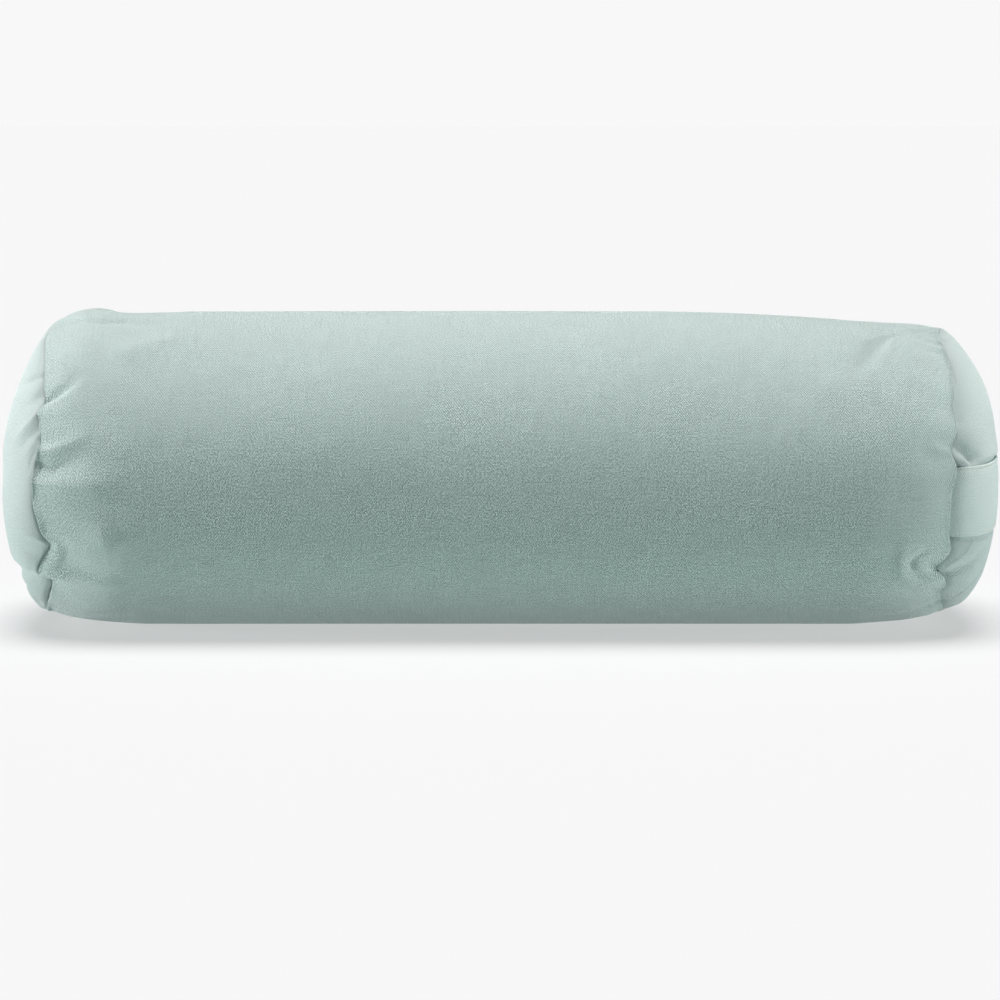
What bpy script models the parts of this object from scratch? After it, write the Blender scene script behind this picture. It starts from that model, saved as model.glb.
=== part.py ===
"""Round yoga bolster: a canvas cover with a carry strap and a back zip, an inner case and its filling.

Metres, +Z up. +X points to the strap end, the zip runs along the back (+Y), and the floor is z = 0.
The middle of the floor line, half way between the two end seams, is the origin.
"""

import math

import bmesh
import bpy
from mathutils import Vector

# The stuffed cover, measured outside
SEAM_SPAN = 0.578
BODY_WIDTH = 0.222
BODY_HEIGHT = 0.203
WIDEST_HEIGHT = 0.096
FLOOR_CUT = 0.0005
UPPER_POWER = 2.0
LOWER_POWER = 2.4

# The body draws in towards each end seam, and puckers where it is gathered on to the end panel
TAPER_LENGTH = 0.065
TAPER_SIDE = 0.0135
TAPER_BOTTOM = 0.0100
GATHER_DEPTH = 0.0018
GATHERS = 11
GATHER_PEAK = 27 / 4

# The top line falls in a short shoulder at the left seam, and in a long slope towards the right one
SHOULDER_FALL = 0.006
SHOULDER_LENGTH = 0.030
SLOPE_FALL = 0.011
SLOPE_LENGTH = 0.200

# The end panels swell outwards, more fully at the bottom than at the top
CROWN_LEFT = 0.0335
CROWN_RIGHT = 0.0365
CROWN_POWER = 0.65
CROWN_POWER_RISE = 0.20
RIM_FADE_START = 0.80
RIM_FADE_END = 0.985

# Cloth, and the room between one layer and the next
CANVAS = 0.0010
CALICO = 0.0006
LAYER_GAP = 0.0005
SEAM_ALLOWANCE = 0.008
INNER_SETBACK = 0.003

# The carry strap across the right end
STRAP_WIDTH = 0.045
STRAP_THICKNESS = 0.0020
STRAP_HEIGHT = 0.089
STRAP_TONGUE = 0.008

# The zip in the back of the cover
ZIP_END_ROOM = 0.003
TAPE_WIDTH = 0.0138
TAPE_THICKNESS = 0.0006
TAPE_PARTING = 0.0012
TAPE_TAIL = 0.015
COIL_HALF_WIDTH = 0.0030
COIL_THICKNESS = 0.0018
COIL_PITCH = 0.0032
COIL_BITE = 0.0009
COIL_PARTING = 0.00045
STOP_LENGTH = 0.0020
ZIP_GAP = 0.0003
SLOT_MARGIN = 0.0010
SLOT_TIP = 0.008

# The slider and its pull
SLIDER_LENGTH = 0.0110
SLIDER_PLATE = 0.0012
SLIDER_BACK_PLATE = 0.0010
SLIDER_WING = 0.0011
SLIDER_WEB_LENGTH = 0.0040
SLIDER_GAP = 0.0004
BAIL_THICKNESS = 0.0020
BAIL_BAR = 0.0011
BAIL_HOLE_LENGTH = 0.0046
BAIL_HOLE_HEIGHT = 0.0018
BAIL_FOOT = 0.0002
BAIL_CORNER = 0.0009
WELD_OVERLAP = 0.0003
PULL_LENGTH = 0.0230
PULL_WIDTH = 0.0070
PULL_THICKNESS = 0.0010
PULL_BAR = 0.0011
PULL_SIDE_GAP = 0.0005

# Mesh density
RING_STEPS = 42
SEAM_STATIONS = (0.0, 0.012, 0.024, 0.040)
SLOPE_STATIONS = (0.100, 0.140, 0.200)
DOME_RINGS = (1.0, RIM_FADE_END, 0.94, 0.85, 0.70, 0.45)
INNER_DOME_RINGS = (1.0, 0.94, 0.80, 0.50)
STRAP_ROWS = 7
STRAP_STATIONS = (1.0, 0.993, 0.98, 0.96, 0.93, 0.89, 0.84, 0.77, 0.67, 0.50, 0.27, 0.0)
PULL_ARC_STEPS = 8

# Places that follow from the sizes above
SEAM_X = SEAM_SPAN / 2
RIM_INSET = CANVAS + LAYER_GAP
STRAP_SINK = STRAP_THICKNESS + 2 * LAYER_GAP
TAPE_REACH = TAPE_PARTING + TAPE_WIDTH
STRIP_MARGIN = 0.002
STRIP_HALF = TAPE_REACH + STRIP_MARGIN
UPPER_HALF = BODY_HEIGHT - WIDEST_HEIGHT
STRIP_SHARE = (1 - (STRIP_HALF / UPPER_HALF) ** UPPER_POWER) ** (1 / UPPER_POWER)
ZIP_Y = BODY_WIDTH / 2 * STRIP_SHARE
TAPE_OUTER_Y = ZIP_Y - CANVAS - ZIP_GAP
TAPE_INNER_Y = TAPE_OUTER_Y - TAPE_THICKNESS
COIL_LOW_Y = TAPE_OUTER_Y + ZIP_GAP
COIL_HIGH_Y = COIL_LOW_Y + COIL_THICKNESS
PLATE_LOW_Y = COIL_HIGH_Y + ZIP_GAP
PLATE_HIGH_Y = PLATE_LOW_Y + SLIDER_PLATE
BACK_PLATE_HIGH_Y = TAPE_INNER_Y - ZIP_GAP
BACK_PLATE_LOW_Y = BACK_PLATE_HIGH_Y - SLIDER_BACK_PLATE
ZIP_ROOM = ZIP_Y - BACK_PLATE_LOW_Y + LAYER_GAP
SLIDER_HALF_WIDTH = COIL_HALF_WIDTH + SLIDER_GAP + SLIDER_WING
SLOT_HALF = SLIDER_HALF_WIDTH + SLOT_MARGIN
TAPE_END_X = SEAM_X - TAPER_LENGTH - ZIP_END_ROOM
STOP_OUTER_X = TAPE_END_X - TAPE_TAIL
STOP_INNER_X = STOP_OUTER_X - STOP_LENGTH
SLOT_END_X = STOP_OUTER_X + SLOT_MARGIN
SLOT_TIP_X = SLOT_END_X + SLOT_TIP
SLIDER_FRONT_X = STOP_INNER_X - SLIDER_GAP
SLIDER_X = SLIDER_FRONT_X - SLIDER_LENGTH / 2
WEB_REAR_X = SLIDER_FRONT_X - SLIDER_WEB_LENGTH
HINGE_Y = PLATE_HIGH_Y + BAIL_FOOT + BAIL_HOLE_HEIGHT / 2

LINEN = (0.50, 0.60, 0.57)
STRAP_COLOUR = (0.49, 0.59, 0.56)
TAPE_COLOUR = (0.46, 0.56, 0.53)
NYLON = (0.58, 0.66, 0.63)
CALICO_COLOUR = (0.76, 0.73, 0.65)
FIBRE = (0.85, 0.84, 0.80)
NICKEL = (0.62, 0.62, 0.60)


def clear_scene():
    """Remove whatever the opened file holds."""
    for item in list(bpy.data.objects):
        bpy.data.objects.remove(item)


def new_collection(name):
    """A collection that is linked to the scene."""
    collection = bpy.data.collections.new(name)
    bpy.context.scene.collection.children.link(collection)
    return collection


def new_material(name, colour, roughness, metallic=0.0):
    """A plain Principled material."""
    material = bpy.data.materials.new(name)
    material.use_nodes = True
    shader = material.node_tree.nodes["Principled BSDF"]
    shader.inputs["Base Color"].default_value = (*colour, 1.0)
    shader.inputs["Roughness"].default_value = roughness
    shader.inputs["Metallic"].default_value = metallic
    return material


def new_part(name, mesh, collection, material):
    """One named object in its collection, with its own material."""
    part = bpy.data.objects.new(name, mesh)
    mesh.materials.append(material)
    collection.objects.link(part)
    return part


def grid_mesh(name, rows, closed):
    """A surface through rows of points; a closed one joins each row's last point to its first."""
    mesh = bpy.data.meshes.new(name)
    shaper = bmesh.new()
    grid = [[shaper.verts.new(point) for point in row] for row in rows]
    for lower, upper in zip(grid, grid[1:]):
        columns = len(lower)
        for k in range(columns if closed else columns - 1):
            after = (k + 1) % columns
            shaper.faces.new((lower[k], upper[k], upper[after], lower[after]))
    shaper.to_mesh(mesh)
    shaper.free()
    return mesh


def cap_with_pole(mesh, first_vertex, columns, pole, starts_grid=False):
    """Close a grid's last ring, or its first one, with a fan of triangles to a pole."""
    shaper = bmesh.new()
    shaper.from_mesh(mesh)
    shaper.verts.ensure_lookup_table()
    ring = [shaper.verts[first_vertex + k] for k in range(columns)]
    centre = shaper.verts.new(pole)
    for k in range(columns):
        after = (k + 1) % columns
        pair = (ring[k], ring[after]) if starts_grid else (ring[after], ring[k])
        shaper.faces.new((*pair, centre))
    shaper.to_mesh(mesh)
    shaper.free()


def add_wall(part, thickness, offset):
    """Give an open surface its thickness: offset -1 grows inwards and 1 outwards."""
    wall = part.modifiers.new("wall", "SOLIDIFY")
    wall.thickness = thickness
    wall.offset = offset
    wall.use_rim = True


def shade_soft(part):
    """Smooth shading over the cloth, with the cut edges kept crisp."""
    part.data.shade_smooth()
    part.data.set_sharp_from_angle(angle=math.radians(50))


def box_mesh(name, low, high):
    """A box between two corners."""
    mesh = bpy.data.meshes.new(name)
    shaper = bmesh.new()
    bmesh.ops.create_cube(shaper, size=1.0)
    middle = (Vector(low) + Vector(high)) / 2
    extent = Vector(high) - Vector(low)
    for corner in shaper.verts:
        corner.co = Vector(corner.co[k] * extent[k] + middle[k] for k in range(3))
    shaper.to_mesh(mesh)
    shaper.free()
    return mesh


def plate_mesh(name, outlines, thickness):
    """A flat plate in the local XY plane, cut from one or more closed outlines."""
    curve = bpy.data.curves.new(name, "CURVE")
    curve.dimensions = "2D"
    curve.fill_mode = "BOTH"
    curve.extrude = thickness / 2
    for outline in outlines:
        spline = curve.splines.new("POLY")
        spline.points.add(len(outline) - 1)
        for point, (u, v) in zip(spline.points, outline):
            point.co = (u, v, 0.0, 1.0)
        spline.use_cyclic_u = True
    holder = bpy.data.objects.new(name, curve)
    bpy.context.scene.collection.objects.link(holder)
    bpy.context.view_layer.update()
    evaluated = holder.evaluated_get(bpy.context.evaluated_depsgraph_get())
    mesh = bpy.data.meshes.new_from_object(evaluated)
    bpy.data.objects.remove(holder)
    shaper = bmesh.new()
    shaper.from_mesh(mesh)
    bmesh.ops.remove_doubles(shaper, verts=shaper.verts, dist=0.000001)
    bmesh.ops.recalc_face_normals(shaper, faces=shaper.faces)
    shaper.to_mesh(mesh)
    shaper.free()
    return mesh


def near_seam(x, length):
    """1 at an end seam, easing to 0 at a length from it."""
    distance = SEAM_X - abs(x)
    return max(0.0, 1.0 - distance / length) ** 2


def half_axes(x, inset):
    """Half width, height above and depth below the widest line at x, less an inset."""
    drawn = near_seam(x, TAPER_LENGTH)
    side = BODY_WIDTH / 2 - TAPER_SIDE * drawn - inset
    if x < 0:
        fall = SHOULDER_FALL * near_seam(x, SHOULDER_LENGTH)
    else:
        fall = SLOPE_FALL * near_seam(x, SLOPE_LENGTH)
    above = UPPER_HALF - fall - inset
    below = WIDEST_HEIGHT + FLOOR_CUT - TAPER_BOTTOM * drawn - inset
    return side, above, below


def half_section(x, rise, inset):
    """Half width, half height and exponent of the section's upper or lower half."""
    side, above, below = half_axes(x, inset)
    if rise >= 0:
        return side, above, UPPER_POWER
    return side, below, LOWER_POWER


def outline_point(x, angle, inset, zip_inset):
    """The section's point at an angle: 0 is the front, a quarter turn the top, half a turn the zip."""
    rise = math.sin(angle)
    side, tall, power = half_section(x, rise, inset)
    reach = (abs(math.cos(angle)) / side) ** power + (abs(rise) / tall) ** power
    radius = reach ** (-1 / power)
    y = min(-radius * math.cos(angle), ZIP_Y - zip_inset)
    z = max(WIDEST_HEIGHT + radius * rise, inset, 0.0)
    return Vector((x, y, z))


def column_angles():
    """Angles once round from the zip line: its two strip edges, and even steps between them."""
    strip_angle = math.atan2(STRIP_HALF, ZIP_Y)
    start = math.pi + strip_angle
    step = (math.tau - 2 * strip_angle) / RING_STEPS
    between = [start + k * step for k in range(RING_STEPS + 1)]
    return [math.pi, *between, math.pi + math.tau]


def strap_share(angle):
    """1 where the right end makes room for the strap, 0 elsewhere."""
    height = outline_point(SEAM_X, angle, RIM_INSET, 0.0).z
    ring_step = math.tau / RING_STEPS * BODY_WIDTH / 2
    return 1.0 if abs(height - STRAP_HEIGHT) < STRAP_WIDTH / 2 + ring_step else 0.0


def taper_share(x):
    """0 where the seam's turned-in allowance ends, 1 where the body has its full size."""
    plain = SEAM_STATIONS[1]
    share = (SEAM_X - abs(x) - plain) / (TAPER_LENGTH - plain)
    return min(max(share, 0.0), 1.0)


def gather(x, angle):
    """How far a pucker stands out: most a third of the way along the taper, 0 at its two ends."""
    share = taper_share(x)
    swell = GATHER_PEAK * share * (1 - share) ** 2
    return GATHER_DEPTH * swell * math.cos(GATHERS * angle)


def layer_inset(x, middle, edge):
    """A layer's inset: its edge value beside a seam, easing to its middle value."""
    return edge + (middle - edge) * taper_share(x)


def stations(extra):
    """Places along X where a tube has a ring, from the left seam to the right one."""
    right = [SEAM_X - distance for distance in (*SEAM_STATIONS, TAPER_LENGTH, *SLOPE_STATIONS)]
    right.extend(extra)
    return sorted(set(right) | {-x for x in right})


def crown_power(rise):
    """The end panel's exponent at a height angle: fuller below, sharper above."""
    return CROWN_POWER + CROWN_POWER_RISE * rise


def swell_normal(offset, y, lift, crown, side, tall):
    """The way out of an end panel, taken as a stretched ball."""
    return Vector((offset / crown ** 2, y / side ** 2, lift / tall ** 2)).normalized()


def rim_fade(rho):
    """1 at an end panel's rim, easing to 0 further in."""
    share = min(max((rho - RIM_FADE_START) / (RIM_FADE_END - RIM_FADE_START), 0.0), 1.0)
    return share * share * (3 - 2 * share)


def dome_ring(end, crown, seam_x, rho, inset, sink):
    """One ring of an end panel's swell; end is 1 or -1, and sink draws it in under the strap."""
    ring = []
    for angle in column_angles()[:-1]:
        rim = outline_point(end * SEAM_X, angle, inset, 0.0)
        side, tall, _ = half_section(end * SEAM_X, math.sin(angle), inset)
        offset = crown * (1 - rho * rho) ** crown_power(math.sin(angle))
        y = rim.y * rho
        lift = (rim.z - WIDEST_HEIGHT) * rho
        point = Vector((seam_x + offset, y, WIDEST_HEIGHT + lift))
        depth = sink * strap_share(angle) * rim_fade(rho)
        point -= depth * swell_normal(offset, y, lift, crown, side, tall)
        ring.append(Vector((end * point.x, point.y, point.z)))
    return ring


def panel_rings(end, crown, seam_x, rings, inset, sink):
    """An end panel: an allowance turned in along the body, then the swell's rings."""
    allowance = []
    x = end * (seam_x - SEAM_ALLOWANCE)
    for angle in column_angles()[:-1]:
        depth = inset + sink * strap_share(angle)
        allowance.append(outline_point(x, angle, depth, 0.0))
    return [allowance, *(dome_ring(end, crown, seam_x, rho, inset, sink) for rho in rings)]


def end_panel(name, end, crown, seam_x, rings, inset, sink, thickness, collection, material):
    """One sewn end panel; end is 1 at the right and -1 at the left."""
    rows = panel_rings(end, crown, seam_x, rings, inset, sink)
    pole = Vector((end * (seam_x + crown), 0.0, WIDEST_HEIGHT))
    if end < 0:
        rows = [list(reversed(row)) for row in rows]
    mesh = grid_mesh(name, rows, closed=True)
    columns = len(rows[0])
    cap_with_pole(mesh, columns * (len(rows) - 1), columns, pole)
    panel = new_part(name, mesh, collection, material)
    add_wall(panel, thickness, -1)
    shade_soft(panel)
    return panel


def cover_body(collection, material):
    """The body panel, rolled into a tube whose two long edges part at the zip."""
    rows = []
    angles = column_angles()
    for x in stations((SLOT_END_X, SLOT_TIP_X)):
        row = [outline_point(x, angle, -gather(x, angle), 0.0) for angle in angles]
        if abs(x) < (SLOT_END_X + SLOT_TIP_X) / 2:
            row[0].z = WIDEST_HEIGHT - SLOT_HALF
            row[-1].z = WIDEST_HEIGHT + SLOT_HALF
        rows.append(row)
    mesh = grid_mesh("cover_body", rows, closed=False)
    weld_points(mesh)
    body = new_part("cover_body", mesh, collection, material)
    add_wall(body, CANVAS, -1)
    shade_soft(body)


def weld_points(mesh):
    """Join points that lie on each other."""
    shaper = bmesh.new()
    shaper.from_mesh(mesh)
    bmesh.ops.remove_doubles(shaper, verts=shaper.verts, dist=0.00001)
    shaper.to_mesh(mesh)
    shaper.free()


def strap_point(station, height, outward):
    """A point of the strap's inner face: outward is -1 on the front half and 1 on the back half."""
    lift = height - WIDEST_HEIGHT
    in_tongue = station > 1.0
    x = SEAM_X - STRAP_TONGUE if in_tongue else SEAM_X
    side, tall, power = half_section(x, lift, RIM_INSET)
    level = (abs(lift) / tall) ** power
    y = outward * min(station, 1.0) * side * (1 - level) ** (1 / power)
    rho = min(((abs(y) / side) ** power + level) ** (1 / power), 1.0)
    rise = lift / max(math.hypot(y, lift), 0.000001)
    offset = 0.0 if in_tongue else CROWN_RIGHT * (1 - rho * rho) ** crown_power(rise)
    fade = 1.0 if in_tongue else rim_fade(rho)
    normal = swell_normal(offset, y, lift, CROWN_RIGHT, side, tall)
    return Vector((x + offset, y, height)) + normal * (LAYER_GAP - STRAP_SINK * fade)


def handle_strap(collection, material):
    """The strap, laid over the right end panel, with a tongue caught in the seam at each end."""
    tongue = 2.0
    front = [(share, -1) for share in (tongue, *STRAP_STATIONS)]
    back = [(share, 1) for share in reversed((tongue, *STRAP_STATIONS[:-1]))]
    rows = []
    for k in range(STRAP_ROWS):
        height = STRAP_HEIGHT + STRAP_WIDTH * (0.5 - k / (STRAP_ROWS - 1))
        rows.append([strap_point(share, height, outward) for share, outward in front + back])
    mesh = grid_mesh("handle_strap", rows, closed=False)
    strap = new_part("handle_strap", mesh, collection, material)
    add_wall(strap, STRAP_THICKNESS, 1)
    shade_soft(strap)


def inner_case(collection, material):
    """The calico case: a plain tube and two swelling ends, inside the cover."""
    middle = CANVAS + LAYER_GAP
    edge = RIM_INSET + STRAP_SINK + CANVAS + LAYER_GAP
    seam_x = SEAM_X - INNER_SETBACK
    rows = []
    for x in stations(()):
        place = min(max(x, -seam_x), seam_x)
        inset = layer_inset(x, middle, edge)
        ring = [outline_point(x, angle, inset, ZIP_ROOM) for angle in column_angles()[:-1]]
        rows.append([Vector((place, point.y, point.z)) for point in ring])
    body = new_part("inner_case_body", grid_mesh("inner_case_body", rows, closed=True), collection, material)
    add_wall(body, CALICO, -1)
    shade_soft(body)
    rim = edge + CALICO + LAYER_GAP
    for name, end, crown in (
        ("inner_case_end_left", -1, CROWN_LEFT),
        ("inner_case_end_right", 1, CROWN_RIGHT),
    ):
        inner_crown = crown + INNER_SETBACK - CANVAS - 2 * LAYER_GAP
        end_panel(name, end, inner_crown, seam_x, INNER_DOME_RINGS, rim, 0.0, CALICO, collection, material)


def filling(collection, material):
    """The fibre filling: one solid that the inner case fits round."""
    middle = CANVAS + CALICO + 2 * LAYER_GAP
    edge = RIM_INSET + STRAP_SINK + CANVAS + LAYER_GAP + 2 * (CALICO + LAYER_GAP)
    seam_x = SEAM_X - INNER_SETBACK
    shrink = CANVAS + CALICO + 4 * LAYER_GAP
    room = ZIP_ROOM + CALICO + LAYER_GAP
    left_crown = CROWN_LEFT + INNER_SETBACK - shrink
    right_crown = CROWN_RIGHT + INNER_SETBACK - shrink
    rows = []
    for rho in reversed(INNER_DOME_RINGS[1:]):
        rows.append(dome_ring(-1, left_crown, seam_x, rho, edge, 0.0))
    for x in stations(()):
        place = min(max(x, -seam_x), seam_x)
        inset = layer_inset(x, middle, edge)
        ring = [outline_point(x, angle, inset, room) for angle in column_angles()[:-1]]
        rows.append([Vector((place, point.y, point.z)) for point in ring])
    for rho in INNER_DOME_RINGS[1:]:
        rows.append(dome_ring(1, right_crown, seam_x, rho, edge, 0.0))
    mesh = grid_mesh("filling", rows, closed=True)
    columns = len(rows[0])
    left_pole = Vector((-seam_x - left_crown, 0.0, WIDEST_HEIGHT))
    right_pole = Vector((seam_x + right_crown, 0.0, WIDEST_HEIGHT))
    cap_with_pole(mesh, 0, columns, left_pole, starts_grid=True)
    cap_with_pole(mesh, columns * (len(rows) - 1), columns, right_pole)
    shade_soft(new_part("filling", mesh, collection, material))


def zip_half(name, upward, collection, tape_material, coil_material):
    """One tape and its half of the coil: upward is 1 for the upper half and -1 for the lower."""
    near = WIDEST_HEIGHT + upward * TAPE_PARTING
    far = WIDEST_HEIGHT + upward * TAPE_REACH
    low = (-TAPE_END_X, TAPE_INNER_Y, min(near, far))
    high = (TAPE_END_X, TAPE_OUTER_Y, max(near, far))
    tape_name = f"zip_tape_{name}"
    new_part(tape_name, box_mesh(tape_name, low, high), collection, tape_material)
    start_x = -STOP_INNER_X + ZIP_GAP
    end_x = WEB_REAR_X - SLIDER_GAP
    teeth = round((end_x - start_x) / COIL_PITCH)
    half_pitch = (end_x - start_x) / teeth / 2
    outline = []
    for k in range(2 * teeth + 1):
        bite = COIL_BITE / 2 if k % 2 else -COIL_BITE / 2
        outline.append((start_x + k * half_pitch, bite + upward * COIL_PARTING / 2))
    outline.append((end_x, upward * COIL_HALF_WIDTH))
    outline.append((start_x, upward * COIL_HALF_WIDTH))
    coil_name = f"zip_coil_{name}"
    coil = new_part(coil_name, plate_mesh(coil_name, [outline], COIL_THICKNESS), collection, coil_material)
    coil.location = (0.0, (COIL_LOW_Y + COIL_HIGH_Y) / 2, WIDEST_HEIGHT)
    coil.rotation_euler = (math.pi / 2, 0.0, 0.0)


def zip_stops(collection, material):
    """A small metal stop on each tape at the closed end, and one across both at the other end."""
    for name, upward in (("upper", 1), ("lower", -1)):
        near = WIDEST_HEIGHT + upward * TAPE_PARTING
        far = WIDEST_HEIGHT + upward * (COIL_HALF_WIDTH + SLIDER_GAP)
        low = (STOP_INNER_X, COIL_LOW_Y, min(near, far))
        high = (STOP_OUTER_X, COIL_HIGH_Y, max(near, far))
        stop_name = f"zip_top_stop_{name}"
        new_part(stop_name, box_mesh(stop_name, low, high), collection, material)
    reach = COIL_HALF_WIDTH + SLIDER_GAP
    low = (-STOP_OUTER_X, COIL_LOW_Y, WIDEST_HEIGHT - reach)
    high = (-STOP_INNER_X, COIL_HIGH_Y, WIDEST_HEIGHT + reach)
    new_part("zip_bottom_stop", box_mesh("zip_bottom_stop", low, high), collection, material)


def join_piece(base, name, mesh, cutters):
    """Unite one more shape with a part, through a Boolean."""
    piece = bpy.data.objects.new(name, mesh)
    cutters.objects.link(piece)
    piece.parent = base
    piece.hide_render = True
    piece.display_type = "WIRE"
    union = base.modifiers.new(name, "BOOLEAN")
    union.operation = "UNION"
    union.object = piece


def zip_slider(collection, cutters, material):
    """The slider: a top plate with two wings, a web to the back plate, and the bail for the pull."""
    half = SLIDER_LENGTH / 2
    width = SLIDER_HALF_WIDTH
    overlap = WELD_OVERLAP
    plate = box_mesh(
        "zip_slider",
        (-half, PLATE_LOW_Y - HINGE_Y, -width),
        (half, PLATE_HIGH_Y - HINGE_Y, width),
    )
    slider = new_part("zip_slider", plate, collection, material)
    slider.location = (SLIDER_X, HINGE_Y, WIDEST_HEIGHT)
    plate_inside = PLATE_LOW_Y + overlap - HINGE_Y
    wing_low = TAPE_OUTER_Y + SLIDER_GAP - HINGE_Y
    for name, low_z, high_z in (
        ("slider_wing_lower", -width, -width + SLIDER_WING),
        ("slider_wing_upper", width - SLIDER_WING, width),
    ):
        wing = box_mesh(name, (-half, wing_low, low_z), (half, plate_inside, high_z))
        join_piece(slider, name, wing, cutters)
    back_low = BACK_PLATE_LOW_Y - HINGE_Y
    back_high = BACK_PLATE_HIGH_Y - HINGE_Y
    web_half = TAPE_PARTING - ZIP_GAP
    web_low = (back_low + back_high) / 2
    web = box_mesh(
        "slider_web",
        (half - SLIDER_WEB_LENGTH, web_low, -web_half),
        (half - overlap, plate_inside, web_half),
    )
    join_piece(slider, "slider_web", web, cutters)
    back = box_mesh("slider_back", (-half, back_low, -width), (half, back_high, width))
    join_piece(slider, "slider_back", back, cutters)
    foot = PLATE_HIGH_Y - overlap - HINGE_Y
    hole_x = BAIL_HOLE_LENGTH / 2
    hole_y = BAIL_HOLE_HEIGHT / 2
    outer_x = hole_x + BAIL_BAR
    outer_y = hole_y + BAIL_BAR
    corner = BAIL_CORNER
    outline = [
        (-outer_x, foot),
        (outer_x, foot),
        (outer_x, outer_y - corner),
        (outer_x - corner, outer_y),
        (corner - outer_x, outer_y),
        (-outer_x, outer_y - corner),
    ]
    hole = [(-hole_x, -hole_y), (-hole_x, hole_y), (hole_x, hole_y), (hole_x, -hole_y)]
    bail = plate_mesh("slider_bail", [outline, hole], BAIL_THICKNESS)
    join_piece(slider, "slider_bail", bail, cutters)


def zip_pull(collection, material):
    """The flat pull, whose end bar passes through the bail; it lies towards the zip's open end."""
    bar = PULL_BAR / 2
    arm_inner = BAIL_THICKNESS / 2 + PULL_SIDE_GAP
    outer = PULL_WIDTH / 2
    window_end = math.hypot(BAIL_HOLE_LENGTH / 2 + BAIL_BAR, BAIL_HOLE_HEIGHT / 2 + BAIL_BAR)
    window_end += PULL_SIDE_GAP + PULL_THICKNESS / 2
    tip_centre = PULL_LENGTH - outer
    outline = [(bar, -outer), (bar, outer)]
    for k in range(PULL_ARC_STEPS + 1):
        angle = math.pi / 2 + math.pi * k / PULL_ARC_STEPS
        outline.append((-tip_centre + outer * math.cos(angle), outer * math.sin(angle)))
    window = [(-bar, -arm_inner), (-window_end, -arm_inner), (-window_end, arm_inner), (-bar, arm_inner)]
    pull = new_part("zip_pull", plate_mesh("zip_pull", [outline, window], PULL_THICKNESS), collection, material)
    pull.location = (SLIDER_X, HINGE_Y, WIDEST_HEIGHT)
    pull.rotation_euler = (math.pi / 2, 0.0, 0.0)
    shade_soft(pull)


def build_bolster():
    """Make every piece of the bolster."""
    clear_scene()
    parts = new_collection("yoga_bolster")
    cutters = new_collection("cutters")
    canvas = new_material("canvas", LINEN, 0.95)
    left_canvas = new_material("left_end_canvas", LINEN, 0.95)
    right_canvas = new_material("right_end_canvas", LINEN, 0.95)
    cover_body(parts, canvas)
    end_panel("cover_end_left", -1, CROWN_LEFT, SEAM_X, DOME_RINGS, RIM_INSET, 0.0, CANVAS, parts, left_canvas)
    end_panel(
        "cover_end_right", 1, CROWN_RIGHT, SEAM_X, DOME_RINGS, RIM_INSET, STRAP_SINK, CANVAS, parts, right_canvas
    )
    handle_strap(parts, new_material("strap_webbing", STRAP_COLOUR, 0.9))
    inner_case(parts, new_material("calico", CALICO_COLOUR, 0.95))
    filling(parts, new_material("fibre", FIBRE, 1.0))
    tape = new_material("zip_tape", TAPE_COLOUR, 0.9)
    nylon = new_material("zip_nylon", NYLON, 0.45)
    zip_half("upper", 1, parts, tape, nylon)
    zip_half("lower", -1, parts, tape, nylon)
    zip_stops(parts, new_material("stop_metal", NICKEL, 0.35, 1.0))
    zip_slider(parts, cutters, new_material("slider_metal", NICKEL, 0.3, 1.0))
    zip_pull(parts, new_material("pull_metal", NICKEL, 0.3, 1.0))


build_bolster()
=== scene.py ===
"""The looks of a round yoga bolster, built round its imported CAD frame.

Metres, +Z up. +X points to the strap end, the zip runs along the back (+Y), and the floor is z = 0.
"""

import math

import bmesh
import bpy
import numpy as np
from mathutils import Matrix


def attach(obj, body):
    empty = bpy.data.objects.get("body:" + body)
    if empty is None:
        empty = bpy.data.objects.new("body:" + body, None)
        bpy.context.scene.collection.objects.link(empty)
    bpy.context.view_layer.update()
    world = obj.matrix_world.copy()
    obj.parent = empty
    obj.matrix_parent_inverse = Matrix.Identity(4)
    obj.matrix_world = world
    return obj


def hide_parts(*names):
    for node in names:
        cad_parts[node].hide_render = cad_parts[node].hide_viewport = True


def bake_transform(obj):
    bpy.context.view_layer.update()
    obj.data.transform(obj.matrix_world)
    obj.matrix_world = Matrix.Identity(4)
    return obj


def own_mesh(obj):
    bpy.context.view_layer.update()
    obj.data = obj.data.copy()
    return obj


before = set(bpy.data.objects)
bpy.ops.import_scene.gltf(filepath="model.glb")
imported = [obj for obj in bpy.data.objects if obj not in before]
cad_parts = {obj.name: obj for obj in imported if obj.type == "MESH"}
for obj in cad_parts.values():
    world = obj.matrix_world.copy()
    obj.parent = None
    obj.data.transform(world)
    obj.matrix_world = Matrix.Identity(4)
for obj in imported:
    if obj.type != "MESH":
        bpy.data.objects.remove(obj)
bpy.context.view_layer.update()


# The camera
# A long lens square to the front of the bolster and a little above it, as in the photograph.
CAMERA_DISTANCE = 2.2
CAMERA_ELEVATION = math.radians(7)
CAMERA_TARGET = (0.0006, 0.0, 0.0789)
FRAME_SPAN = 0.6585
SENSOR_WIDTH = 36


def add_object(name, data):
    """A new object in the scene, at the origin."""
    piece = bpy.data.objects.new(name, data)
    bpy.context.scene.collection.objects.link(piece)
    return piece


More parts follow.
